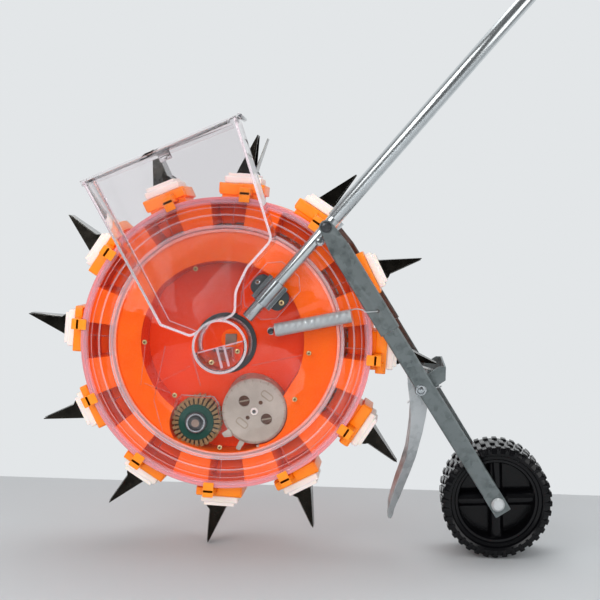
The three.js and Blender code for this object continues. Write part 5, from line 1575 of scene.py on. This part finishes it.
@dataclass
class Hopper:
    """Clear hopper with its round lobe, and the hinged lid."""

    front: float = -126.0
    back: float = -72.0
    wall: float = 2.5
    lobe: float = 34.7
    brow: Point = (-179.6, 201.2)
    crown: Point = (11.0, 290.4)
    hinge_reach: float = 5.0

    def __post_init__(self) -> None:
        """Finds the mouth's direction and the hinge."""
        rise = (self.crown[0] - self.brow[0], self.crown[1] - self.brow[1])
        self.mouth = math.hypot(*rise)
        self.slope = math.degrees(math.atan2(rise[1], rise[0]))
        self.hinge = self.on_mouth(self.mouth + self.hinge_reach, 0.0)

    def on_mouth(self, along: float, above: float) -> Point:
        """Gives a place along the hopper's mouth and above it."""
        return shifted(turned([(along, above)], self.slope), *self.brow)[0]

    def outline(self, inset: float) -> list[Point]:
        """Gives the hopper's rounded outline.

        Args:
            inset: how far all sides but the mouth, which moves outwards, are moved inwards.

        Returns:
            The outline.
        """
        corners = [self.brow, self.crown, (63.4, 136.8), (33.0, 100.7)]
        corners += [(19.5, 69.9), (19.5, 41.0), (-37.2, 10.9), (-76.2, 24.0)]
        radii = [2.0, 2.0, 16.0, 34.0, 30.0, 14.0, 8.0, 6.0]
        past_mouth = -9.0 if inset else 0.0
        lines = []
        for i, (x, z) in enumerate(corners):
            way = (Vector(corners[(i + 1) % len(corners)]) - Vector((x, z))).normalized()
            move = inset if i else past_mouth
            lines.append((Vector((x + way.y * move, z - way.x * move)), way))
        placed = []
        for i, (place, way) in enumerate(lines):
            before, way_before = lines[i - 1]
            cross = way_before.x * way.y - way_before.y * way.x
            along = ((place.x - before.x) * way.y - (place.y - before.y) * way.x) / cross
            placed.append(tuple(before + way_before * along))
        return rounded(placed, [max(0.5, r - inset) for r in radii], 8)

    def build(self) -> None:
        """Builds the box and the lid."""
        self.box()
        self.lid()

    def box(self) -> None:
        """Clear box: a shell with an open mouth, an outlet in its back and hinge ears."""
        shell = plate("hopper", self.outline(0.0), self.front, self.back)
        cut(shell, ring("lobe", self.lobe, 0.0, self.front, self.back, 0.0, steps=96), kind="UNION")
        low, high = self.front + self.wall, self.back - self.wall
        cavity = plate("cavity", self.outline(self.wall), low, high)
        cut(cavity, ring("lobe_cavity", 33.2, 0.0, low, high, 0.0, steps=96), kind="UNION")
        cut(shell, cavity, ring("outlet", 32.7, 0.0, low, self.back + 7, 0.0, steps=96))
        soften(shell, 0.7, 3)
        ears = [plate("ear", self.ear(), y, y + 3, 0.4) for y in (self.front, self.back - 3)]
        parts = [clear(smooth(cut(shell, *ears, kind="UNION")))]
        # The beads are painted whitish, a painted highlight along the hopper's edges.
        for y in (self.front - 0.7, self.back + 0.02):
            parts.append(paint(self.bead(y), Coat.CLEAR_BEAD_HIGHLIGHT))
        fit(merged("hopper_clear", parts), "frame", Slot.CLEAR, "hopper")

    def bead(self, y: float) -> Piece:
        """Low bead round the walls and the lobe, just clear of the box.

        Args:
            y: its first face.

        Returns:
            The bead.
        """
        width, high = 3.2, 0.68
        bead = plate("bead", self.outline(0.0), y, y + high)
        cut(bead, plate("bead_inside", self.outline(width), y - 3, y + 3))
        lobe = ring("bead_lobe", self.lobe, 0.0, y, y + high, 0.0, steps=96)
        cut(bead, lobe, kind="UNION")
        cut(bead, ring("bead_hole", self.lobe - width, 0.0, y - 3, y + 3, 0.0, steps=96))
        return soften(bead, 0.33, 3)

    def ear(self) -> list[Point]:
        """Gives the outline of a hinge ear."""
        m = self.mouth
        corners = [(m - 4, -8), (m + 5, -4), (m + 9, 0), (m + 5, 4), (m + 1, 0), (m - 4, -4)]
        return rounded([self.on_mouth(a, b) for a, b in corners], 1.0, 2)

    def lid(self) -> None:
        """Clear lid: plate, skirt on three sides, knuckle, pin and catch."""
        m, top, front, back = self.mouth, 2.8, -128.3, -69.7

        def band(a0: float, a1: float, b0: float, b1: float) -> list[Point]:
            """Gives the outline of a strip along the mouth."""
            return [self.on_mouth(a, b) for a, b in box(a0, a1, b0, b1)]

        shell = plate("lid", band(-2.3, m + 0.3, top - 7, top), front, back)
        hollow = plate("lid_hollow", band(-0.3, m + 8, -20, 0.3), -126.3, -71.7)
        notch_near = plate("notch_near", band(m - 12, m + 20, -14, 10), front - 7, -122.7)
        notch_far = plate("notch_far", band(m - 12, m + 20, -14, 10), -75.6, back + 7)
        cut(shell, hollow, notch_near, notch_far)
        soften(shell, 0.6, 3)
        knuckle = ring("knuckle", 3.0, 0.0, -122.4, -75.6, 0.5, self.hinge, 32)
        bridge = plate("bridge", band(m - 0.7, m + 5, 0.3, top), -122.4, -75.6, 0.4)
        catch = 0.48 * m
        tongue = plate("catch", band(catch, catch + 16, -16, 0.3), front, front + 2.0, 0.6)
        hook = plate("catch_hook", band(catch + 2, catch + 14, -15, -11), front - 0.6, front + 0.4, 0.4)
        pin = ring("lid_pin", 1.5, 0.0, -126.6, -71.4, 0.3, self.hinge, 24)
        body = smooth(cut(shell, bridge, knuckle, tongue, hook, kind="UNION"))
        parts = [clear(body), paint(pin, Coat.BRIGHT)]
        fit(merged("hopper_lid_clear", parts), "lid", Slot.CLEAR, "hopper_lid")


# Tubes and handle


@dataclass
class Handle:
    """Lower tubes with their clamps, the cranked pole, the handlebar and the grips."""

    covers: Covers
    side: float = 80.0
    radius: float = 8.0
    near_length: float = 232.0
    far_length: float = 170.6
    pole_radius: float = 10.0
    pole_from: float = 171.7
    pole_knee: float = 471.7
    bar_radius: float = 11.0
    station: float = 43.5

    def __post_init__(self) -> None:
        """Finds the handlebar's middle and the direction of the pole's upper part."""
        _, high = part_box("handlebar")
        self.bar = Vector((high.x - self.bar_radius * MM, 0.0, high.z - self.bar_radius * MM))
        self.knee = self.tube_point(self.pole_knee, -self.side)
        self.way = (self.bar - self.knee).normalized()

    def tube_point(self, station: float, y: float) -> Vector:
        """Gives a place on a tube's axis."""
        x, z = self.covers.on_tube(station)
        return at(x, y, z)

    def below(self, reach: float) -> Vector:
        """Gives a place on the pole's axis at a distance from the handlebar's."""
        return self.bar - self.way * reach * MM

    def build(self) -> None:
        """Builds the frame's tubes and what is on them."""
        self.lower_tubes()
        self.clamps()
        self.pole()
        self.handlebar()
        self.grips()

    def lower_tubes(self) -> None:
        """Chromed lower tubes with the bolts on which the arms turn and rest."""
        pivot = self.covers.on_tube(self.covers.pivot)
        for name, y, length in (("near", -self.side, self.near_length), ("far", self.side, self.far_length)):
            way = math.copysign(1.0, y)
            line = [self.tube_point(0, y), self.tube_point(length, y)]
            body = paint(pipe("tube", line, self.radius, 1.4), Coat.TUBE)
            shank = ring("pivot_shank", 4.0, 0.0, y, way * 91.5, 0.2, pivot, 24)
            head = HexHead(5.8, 3.2, 7.4).build("pivot_head", pivot, way * 91.1, way, Coat.DARK)
            stop = self.stop_bolt(y, way)
            parts = [body, paint(shank, Coat.BRIGHT), head, stop]
            fit(merged(f"tube_{name}", parts), "frame", Slot.TUBE, f"lower_tube_{name}")

    def stop_bolt(self, y: float, way: float) -> Piece:
        """Bolt through a tube on which the arm rests, with a washer and a hexagon head.

        Args:
            y: the tube's place.
            way: -1 on the near side, 1 on the far side.

        Returns:
            The bolt.
        """
        spot = RearFrame(self.covers).on_arm(12.0, -16.6)
        shank = paint(ring("stop_shank", 3.0, 0.0, y, way * 91.0, 0.2, spot, 20), Coat.BRIGHT)
        head = HexHead(4.6, 2.6, 5.6).build("stop_head", spot, way * 88.6, way, Coat.BRIGHT)
        return merged("stop_bolt", [shank, head])

    def clamps(self) -> None:
        """Rubber pads and steel saddles that hold the lower tubes to the covers."""
        on, s, face = self.covers.on_tube, self.station, -78.0
        corners = [(s + 14.5, 27), (s - 14.5, 27), (s - 14.5, -27), (s + 14.5, -27)]
        outline = rounded([on(a, b) for a, b in corners], 13.5, 8)
        pad = plate("pad", outline, face, -69.3, 1.2, 3)
        line = [self.tube_point(s - 30, -self.side), self.tube_point(s + 30, -self.side)]
        cut(pad, wire("groove", line, self.radius + 0.3, 32))
        paint(pad, Coat.RUBBER)
        screws = []
        for across, coat in ((20.5, Coat.BRIGHT), (-20.5, Coat.BRASS)):
            screws.append(Screw(3.6, 1.8, 1.9).build("pad_screw", on(s, across), face, coat))
        pad = merged("pad", [pad, *screws])
        saddle = self.saddle()
        for name, move in SIDES:
            fit(copied(pad, f"tube_pad_{name}", move), "frame", Slot.RUBBER, f"clamp_pad_{name}")
            fit(copied(saddle, f"tube_saddle_{name}", move), "frame", Slot.BRIGHT, f"saddle_{name}")
        bpy.data.objects.remove(pad)
        bpy.data.objects.remove(saddle)

    def saddle(self) -> Piece:
        """Bent strip over the tube: wings, rounded corners and an arch."""
        inner, sheet, half = self.radius + 0.3, 2.0, 18.5
        outer = inner + sheet
        angles = [math.pi * i / 16 for i in range(17)]
        arch_outer = [(outer * math.cos(a), outer * math.sin(a)) for a in angles]
        arch_inner = [(inner * math.cos(a), inner * math.sin(a)) for a in angles[::-1]]
        wing, foot = outer + 5.0, -1.7
        rise = foot + sheet
        run = [(wing, foot), (wing, rise), (outer, rise), *arch_outer[1:-1], (-outer, rise), (-wing, rise)]
        run += [(-wing, foot), (-inner, foot), *arch_inner[1:-1], (inner, foot)]
        levels = []
        for station in (self.station - half, self.station + half):
            places = []
            for across, out in run:
                x, z = self.covers.on_tube(station, across)
                places.append(at(x, -self.side - out, z))
            levels.append(places)
        return soften(paint(skin("saddle", levels), Coat.BRIGHT), 0.4, 2)

    def pole(self) -> None:
        """Long chromed pole, bent inwards to the handlebar."""
        reach = 30  # of the bend, to each side of the knee
        before = self.tube_point(self.pole_knee - reach, -self.side)
        bend = bent(before, self.knee, self.knee + self.way * reach * MM, 10)
        places = [self.tube_point(self.pole_from, -self.side), *bend, self.below(12.3)]
        mount(pipe("pole", places, self.pole_radius, 1.7, 48), "frame", Coat.TUBE, "upper_pole")

    def handlebar(self) -> None:
        """Handlebar with the pole's socket."""
        ends = [Vector((self.bar.x, y * MM, self.bar.z)) for y in (-240.0, 240.0)]
        bar = pipe("handlebar", ends, self.bar_radius, 1.5, 48)
        socket = pipe("socket", [self.below(8), self.below(49)], 13.0, 2.6, 48)
        collar = wire("collar", [self.below(44), self.below(47)], 13.8, 40)
        cut(collar, wire("collar_bore", [self.below(30), self.below(60)], 12.4, 40))
        parts = painted([bar, socket, collar], Coat.TUBE)
        fit(merged("handlebar_tube", parts), "frame", Slot.TUBE, "handlebar")

    def grips(self) -> None:
        """Rubber grips: a flange, soft ribs and a closed end."""
        place = (self.bar - HUB) / MM
        start, end, bore, valley, crest = 122.0, 244.0, 11.3, 15.2, 16.0
        profile = [(bore, start), (17.6, start), (18.5, start + 1), (18.5, start + 5)]
        profile += [(17.6, start + 6), (valley, start + 7)]
        y = start + 10
        while y < end - 14:
            profile += [(valley, y), (crest, y + 0.9), (crest, y + 3.1), (valley, y + 4.0)]
            y += 5.6
        profile += [(15.6, end - 6), (14.6, end - 1.5), (12.0, end), (0.0, end)]
        profile += [(0.0, end - 4), (bore, end - 4)]
        far = paint(lathe("grip", profile, (place.x, place.z), 48), Coat.RUBBER)
        fit(copied(far, "grip_sleeve_near", MIRROR), "frame", Slot.RUBBER, "grip_near")
        far.name = far.data.name = "grip_sleeve_far"
        fit(far, "frame", Slot.RUBBER, "grip_far")


# Rear frame


@dataclass
class RearFrame:
    """Two channel arms, the wheel's axle, the tension spring and the coverers."""

    covers: Covers
    sheet: float = 2.5
    flange: float = 8.0
    wide: float = 13.5
    eye: float = 9.2
    narrow: float = 11.5
    seam: float = 158.7
    toe: float = 18.0
    inner: float = 88.3
    foot_inner: float = 52.0
    spring_reach: float = 127.6
    spring_side: float = 80.0
    coverer_along: float = 245.3
    coverer_across: float = -6.2

    def __post_init__(self) -> None:
        """Finds the arms' direction from the pivot and the wheel's axle."""
        self.pivot = Vector(self.covers.on_tube(self.covers.pivot))
        low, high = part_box("wheel_axle")
        centre = ((low + high) / 2 - HUB) / MM
        self.axle = Vector((centre.x, centre.z))
        self.length = (self.axle - self.pivot).length
        self.way = (self.axle - self.pivot).normalized()
        self.foot = self.length - self.toe
        self.coverer = self.on_arm(self.coverer_along, self.coverer_across)

    def on_arm(self, along: float, across: float = 0.0) -> Point:
        """Gives a place along an arm."""
        side = Vector((-self.way.y, self.way.x))
        return tuple(self.pivot + self.way * along + side * across)

    def face(self, along: float) -> float:
        """Gives the distance of an arm's inner face from the bill plane."""
        share = min(1.0, max(0.0, (along - self.seam) / (self.foot - self.seam)))
        return self.inner + share * (self.foot_inner - self.inner)

    def build(self) -> None:
        """Builds the rear frame's pieces."""
        self.arms()
        self.axle_and_heads()
        self.spring()
        self.coverers()
        self.torsion_spring()

    def section(self, along: float, half: float) -> list[Vector]:
        """Gives the channel's section with rounded bends.

        Args:
            along: distance from the pivot.
            half: half the channel's width.

        Returns:
            The section of the near arm.
        """
        inner = self.face(along)
        outer, edge, t = inner + self.sheet, inner - self.flange, self.sheet
        corners = [(-half, outer), (half, outer), (half, edge), (half - t, edge)]
        corners += [(half - t, inner), (t - half, inner), (t - half, edge), (-half, edge)]
        radii = [2.8, 2.8, 0.4, 0.4, 0.8, 0.8, 0.4, 0.4]
        places = []
        for across, y in rounded(corners, radii, 4):
            x, z = self.on_arm(along, across)
            places.append(at(x, -y, z))
        return places

    def sheets(self) -> list[Piece]:
        """Near arm's sheets: tongue with the pivot's eye, upper and lower channel, toe at the wheel."""
        slope = math.degrees(math.atan2(self.way.y, self.way.x))
        head = [*arc(self.eye, 98, 262, 18), (33.0, -self.wide), (33.0, self.wide)]
        outline = shifted(turned(head, slope), *self.pivot)
        tongue = plate("tongue", outline, -(self.inner + self.sheet), -self.inner)
        cut(tongue, ring("pivot_hole", 4.5, 0.0, -100, -80, 0.0, tuple(self.pivot), 32))
        upper = skin("upper", [self.section(32.0, self.wide), self.section(self.seam, self.wide)])
        hole = self.on_arm(self.spring_reach)
        cut(upper, ring("spring_hole", 2.6, 0.0, -100, -84, 0.0, hole, 20))
        lower = skin("lower", [self.section(a, self.narrow) for a in (self.seam + 0.2, self.foot)])
        end = rounded(box(self.foot - 1, self.length + 14, -self.narrow, self.narrow), 0.8, 2)
        end = shifted(turned(end, slope), *self.pivot)
        toe = plate("toe", end, -(self.foot_inner + self.sheet), -self.foot_inner)
        cut(toe, ring("axle_hole", 5.3, 0.0, -60, -45, 0.0, tuple(self.axle), 32))
        return painted([soften(part, 0.35, 2) for part in (tongue, upper, lower, toe)], Coat.ZINC)

    def arms(self) -> None:
        """Galvanised arms: an upper channel with an eye, a lower one lapped on, pins and rivets."""
        outer = self.face(self.coverer_along) + self.sheet
        for (name, move), pin_end in zip(SIDES, (44.0, 57.0)):
            sheets = self.sheets()
            pin = ring("pin", 4.0, 0.0, -outer - 2.5, -pin_end, 0.5, self.coverer, 24)
            collar = ring("pin_collar", 7.5, 0.0, -pin_end - 2, -pin_end, 0.4, self.coverer, 24)
            parts = [*sheets, *painted([pin, collar], Coat.BRIGHT), *self.details(outer)]
            arm = merged(f"arm_{name}", parts)
            if move is MIRROR:
                arm.data.transform(move)
                arm.data.flip_normals()
            fit(arm, "rear_frame", Slot.GALVANISED, f"rear_arm_{name}")

    def details(self, outer: float) -> list[Piece]:
        """Rivets at the lap and a washer on the coverers' pin.

        Args:
            outer: distance of the arm's outer face from the bill plane, at the pin.

        Returns:
            The rivets and the washer.
        """
        parts = []
        for along, across in ((self.seam + 6, 5.5), (self.seam + 24, -1.0), (self.seam - 9, -2.0)):
            face = -(self.face(along) + self.sheet) + 0.2
            centre = self.on_arm(along, across)
            parts.append(paint(ring("rivet", 4.0, 0.0, face - 1.3, face, 0.8, centre, 24), Coat.ZINC))
        washer = ring("pin_washer", 7.2, 4.2, -outer - 1.6, -outer - 0.1, 0.4, self.coverer, 32)
        return [*parts, paint(washer, Coat.BRIGHT)]

    def axle_and_heads(self) -> None:
        """Wheel axle with a domed head on each side."""
        axle = tuple(self.axle)
        parts = [paint(ring("axle_shank", 5.0, 0.0, -55.5, 55.5, 0.3, axle, 32), Coat.BRIGHT)]
        dome = ((0, 0.0), (9, 0.0), (9, 1.2), (7.6, 3.2), (6.0, 4.5), (0, 4.7))
        for way in (-1.0, 1.0):
            profile = [(radius, way * 54.8 + way * rise) for radius, rise in dome]
            parts.append(paint(lathe("axle_head", profile, axle, 40), Coat.PALE))
        fit(merged("wheel_axle_steel", parts), "rear_frame", Slot.BRIGHT, "wheel_axle")

    def spring(self) -> None:
        """Close-wound tension spring between the cover's screw and the arm, with an eye and a hook."""
        hook, start = Vector(self.on_arm(self.spring_reach)), Vector(self.covers.anchor)
        reach = (hook - start).length
        way = (hook - start).normalized()
        up = Vector((-way.y, way.x))
        eye, wire_radius, coil_radius = 4.1, 0.84, 8.1
        first, last = 5.0, 106.0
        turns, steps = 62, 28

        def place(along: float, high: float, outward: float) -> Vector:
            """Gives a place along the spring, above its line and towards the viewer."""
            spot = start + way * along + up * high
            return at(spot.x, -self.spring_side - outward, spot.y)

        places = []
        for i in range(21):
            angle = math.radians(-60 - 13.5 * i)
            places.append(place(eye * math.cos(angle), eye * math.sin(angle), 0.0))
        places.append(place(first - 1.2, 4.4, 0.0))
        for i in range(turns * steps + 1):
            angle = 2 * math.pi * i / steps + math.pi / 2
            grow = min(1.0, i / steps + 0.3)
            radius = coil_radius * (0.3 + 0.7 * grow)
            along = first + (last - first) * i / (turns * steps)
            places.append(place(along, radius * math.sin(angle), radius * math.cos(angle)))
        hooked = [(107.6, 7.4, 3.0), (112.0, 8.3, 8.6), (118.0, 7.6, 12.6), (123.5, 5.0, 13.3)]
        hooked += [(126.6, 1.8, 13.4), (reach, 0.0, 12.6), (reach, 0.0, 8.5)]
        places += [place(*spot) for spot in hooked]
        mount(wire("rear_spring_coil", places, wire_radius, 6), "frame", Coat.SPRING, "rear_spring")

    def coverers(self) -> None:
        """Bracket with its web, and two twisted blades."""
        px, pz = self.coverer
        corners = [(-8, -8), (4, -8), (32.2, 12), (32.2, 30), (23, 30), (-8, 8)]
        outline = rounded(shifted(corners, px, pz), [7, 5, 1.2, 1.2, 4, 7], 5)
        cheek = plate("cheek", outline, -66.0, -63.5)
        cut(cheek, ring("cheek_hole", 4.4, 0.0, -70, -60, 0.0, self.coverer, 24))
        soften(cheek, 0.35, 2)
        web = plate("web", shifted(box(29.7, 32.2, 12, 30), px, pz), -64.5, 64.5, 0.4)
        parts = painted([cheek, copied(cheek, "cheek_far", MIRROR), web], Coat.ZINC)
        fit(merged("coverer_bracket_sheet", parts), "coverers", Slot.GALVANISED, "coverer_bracket")
        blade = self.blade()
        for name, move in SIDES:
            fit(copied(blade, f"coverer_{name}", move), "coverers", Slot.GALVANISED, f"coverer_blade_{name}")
        bpy.data.objects.remove(blade)

    def blade(self) -> Piece:
        """Blade that narrows, bends inwards and twists towards its tip."""
        # X and Z from the pin, distance inwards, width and twist in degrees
        stations = [
            (-3, 14, 0, 30, 0), (-3, 6, 0, 29, 0), (-2, -14, 0, 25, 0), (-2, -36, 1.3, 20, 0),
            (-4, -58, 5, 17, 6), (-7, -77, 12, 15, 13), (-10, -94, 18, 14, 20),
            (-16, -114, 24, 14, 27), (-23, -134, 29, 14.5, 34), (-29, -153, 33.5, 13.5, 38),
            (-34, -168, 36.6, 11, 40), (-35, -178, 38.4, 8, 40), (-35, -182, 39, 2.4, 40),
        ]
        half = 1.25  # of the sheet
        px, pz = self.coverer
        levels = []
        for x, z, inward, width, twist in stations:
            middle = Vector((px + x, inward + half - 63.2, pz + z))
            c, s = math.cos(math.radians(twist)), math.sin(math.radians(twist))
            across, through = Vector((c, s, 0)), Vector((-s, c, 0))
            section = []
            for a, t in ((-1, -1), (1, -1), (1, 1), (-1, 1)):
                spot = middle + across * (a * width / 2) + through * (t * half)
                section.append(at(*spot))
            levels.append(section)
        blade = skin("blade", levels)
        cut(blade, ring("blade_hole", 4.4, 0.0, -70, -55, 0.0, self.coverer, 24))
        return paint(soften(blade, 0.4, 2), Coat.ZINC_PALE)

    def torsion_spring(self) -> None:
        """Torsion spring on the near pivot pin with two straight legs."""
        coil = []
        turns, steps, pitch = 5, 20, 2.25
        first, leg = 47.5, 26
        for i in range(turns * steps + 1):
            x, z = polar(6.4, 360.0 * i / steps - 60, self.coverer)
            coil.append(at(x, -first - pitch * i / steps, z))
        lead = coil[0] + (coil[0] - coil[1]).normalized() * leg * MM
        tail = coil[-1] + (coil[-1] - coil[-2]).normalized() * leg * MM
        piece = wire("coverer_spring_coil", [lead, *coil, tail], 1.0, 8)
        mount(piece, "coverers", Coat.SPRING, "coverer_spring")


@dataclass
class PressWheel:
    """Black press wheel: lugged tyre, rim, web, four pairs of tube-like spokes and a hub."""

    rear: RearFrame
    tread: float = 72.2
    top: float = 74.4
    half: float = 41.5
    lugs: int = 36

    def build(self) -> None:
        """Builds the wheel as one piece."""
        axle, edge, web = tuple(self.rear.axle), self.half, 3
        shoulder = [(60.5, 6), (62, 1.6), (65, 0), (67.6, 0.8), (self.tread, 4)]
        well = [(56.6, 7), (55.2, 9), (52.2, 9), (50.8, 11)]
        profile = [(radius, -edge + y) for radius, y in shoulder]
        profile += [(radius, edge - y) for radius, y in (*shoulder[::-1], *well)]
        profile += [(50.2, web), (14.0, web), (14.0, -web), (50.2, -web)]
        profile += [(radius, -edge + y) for radius, y in well[::-1]]
        tyre = paint(lathe("tyre", profile, axle, 144), Coat.BLACK)
        lugs = repeated(self.lug(), "lugs", [turn(360.0 * i / self.lugs, axle) for i in range(self.lugs)])
        hub_profile = [(5.5, -51.7), (11.5, -51.7), (13, -50), (13, -30), (16, -24), (16, 24), (13, 30)]
        hub_profile += [(13, 50), (11.5, 51.7), (5.5, 51.7)]
        hub = paint(lathe("hub", rounded(hub_profile, 0.6, 2), axle, 48), Coat.BLACK)
        spokes = []
        for i in range(4):
            angle = 90.0 * i + 3.0
            start, end = polar(12, angle, axle), polar(51.5, angle, axle)
            for y in (-13.5, 13.5):
                spokes.append(wire("spoke", [at(start[0], y, start[1]), at(end[0], y, end[1])], 10.0, 28))
        parts = [tyre, lugs, hub, *painted(spokes, Coat.BLACK)]
        fit(merged("press_wheel_black", parts), "wheel", Slot.BLACK, "press_wheel")

    def lug(self) -> Piece:
        """One tread lug: a rounded block on each shoulder, a bar between them and two side blocks."""
        edge, half = self.half, 3.6
        parts = []
        for y0, y1, shift in ((-edge + 1, -edge + 17, 0.0), (-12.0, 12.0, 6.1), (edge - 17, edge - 1, 0.0)):
            outline = rounded(box(self.tread - 2.5, self.top, shift - half, shift + half), 1.4, 3)
            parts.append(plate("lug", shifted(outline, *self.rear.axle), y0, y1, 1.2, 3))
        shoulder = rounded(box(63.5, self.tread + 1.0, -2.6, 2.6), 1.6, 3)
        for y0, y1 in ((-edge, -edge + 3.2), (edge - 3.2, edge)):
            parts.append(plate("shoulder", shifted(shoulder, *self.rear.axle), y0, y1, 0.8, 2))
        return merged("lug", painted(parts, Coat.BLACK))


# Stage


@dataclass
class Stage:
    """Pale table, soft lamps, pale surroundings and the camera at the photograph's angle."""

    table: str = "#C9CCCE"
    wall: str = "#E3E6E8"

    def build(self) -> None:
        """Builds the stage."""
        self.floor()
        self.world()
        self.lamps()
        self.camera()

    def floor(self) -> None:
        """Table top with a matt pale cover."""
        size, middle = Vector((5.0, 2.4, 0.05)), Vector((0.2, -0.83, -0.0252))
        only()
        bpy.ops.mesh.primitive_cube_add(size=1.0)
        floor = bpy.context.object
        floor.name = "table"
        for vertex in floor.data.vertices:
            vertex.co = vertex.co * size + middle
        soften(floor, 6.0, 3)
        material = bpy.data.materials.new("table_cover")
        material.use_nodes = True
        shader = material.node_tree.nodes["Principled BSDF"]
        shader.inputs["Base Color"].default_value = linear(self.table)
        shader.inputs["Roughness"].default_value = 0.7
        floor.data.materials.append(material)

    def world(self) -> None:
        """Pale grey surroundings, which the camera, reflections and clear plastic show as the backdrop."""
        world = bpy.data.worlds.new("studio")
        bpy.context.scene.world = world
        world.use_nodes = True
        tree = world.node_tree
        tree.nodes.clear()
        path = add(tree, "LightPath").outputs
        shown = add(tree, "Math", {0: path["Is Glossy Ray"], 1: path["Is Transmission Ray"]})
        shown.operation = "MAXIMUM"
        way = add(tree, "TexCoord").outputs["Generated"]
        depth = add(tree, "SeparateXYZ", {"Vector": way}).outputs["Y"]
        inputs = {"Value": depth, "From Min": -0.25, "From Max": 0.35, "To Min": 0.16, "To Max": 1.0}
        room = add(tree, "MapRange", inputs).outputs["Result"]
        soft = add(tree, "Background", {"Color": linear("#F4F6F8"), "Strength": 0.52})
        mirrored = add(tree, "Background", {"Color": linear(self.wall), "Strength": room})
        backdrop = add(tree, "Background", {"Color": linear(self.wall), "Strength": 1.0})
        inputs = {0: shown.outputs["Value"], 1: soft.outputs["Background"], 2: mirrored.outputs["Background"]}
        unseen = add(tree, "MixShader", inputs).outputs["Shader"]
        inputs = {0: path["Is Camera Ray"], 1: unseen, 2: backdrop.outputs["Background"]}
        mix = add(tree, "MixShader", inputs)
        add(tree, "OutputWorld", {"Surface": mix.outputs["Shader"]})

    def lamps(self) -> None:
        """Soft boxes beside the camera and overhead, and a weak one in front that casts no glare."""
        aim = (0.0, 0.0, 0.3)
        self.lamp("key", (-1.3, -2.0, 1.7), aim, 1.5, 25.0)
        self.lamp("fill", (1.9, -1.6, 1.0), aim, 1.4, 13.0)
        self.lamp("top", (0.1, 0.5, 2.2), (0.0, 0.0, 0.2), 1.6, 16.0)
        self.lamp("front", (0.0, -2.2, 0.55), aim, 0.9, 22.0).visible_glossy = False

    def lamp(self, name: str, place: Triple, aim: Triple, size: float, power: float) -> Piece:
        """Adds one area lamp.

        Args:
            name: the lamp's name.
            place: where it stands, in metres.
            aim: the point that it faces.
            size: side of its square in metres.
            power: watts.

        Returns:
            The lamp.
        """
        data = bpy.data.lights.new(name, "AREA")
        data.size = size
        data.energy = power
        lamp = bpy.data.objects.new(name, data)
        bpy.context.scene.collection.objects.link(lamp)
        lamp.location = place
        lamp.rotation_mode = "QUATERNION"
        lamp.visible_transmission = False
        lamp.rotation_quaternion = (Vector(place) - Vector(aim)).to_track_quat("Z", "Y")
        return lamp

    def camera(self) -> None:
        """Camera that looks along +Y, level, with a slight roll and a shifted picture."""
        data = bpy.data.cameras.new("camera")
        data.lens = 68.2
        data.sensor_width = 36.0
        data.shift_x, data.shift_y = -0.1617, -0.105
        camera = bpy.data.objects.new("camera", data)
        bpy.context.scene.collection.objects.link(camera)
        camera.location = (0.05521, -1.560, 0.42618)
        camera.rotation_euler = (math.radians(90), math.radians(-1.87), 0.0)
        bpy.context.scene.camera = camera


def main() -> None:
    """Builds the machine piece by piece, then the stage."""
    logging.basicConfig(level=logging.INFO, format="%(message)s")
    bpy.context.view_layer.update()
    bpy.context.scene.view_settings.view_transform = "Standard"
    drum = Drum()
    metering = Metering()
    covers = Covers(metering)
    rear = RearFrame(covers)
    front_half = (drum, Openers(drum), metering, covers, Hub(), Hopper())
    for assembly in (*front_half, Handle(covers), rear, PressWheel(rear)):
        log.info("building %s", type(assembly).__name__)
        assembly.build()
    Stage().build()
    only()


if __name__ == "__main__":
    main()
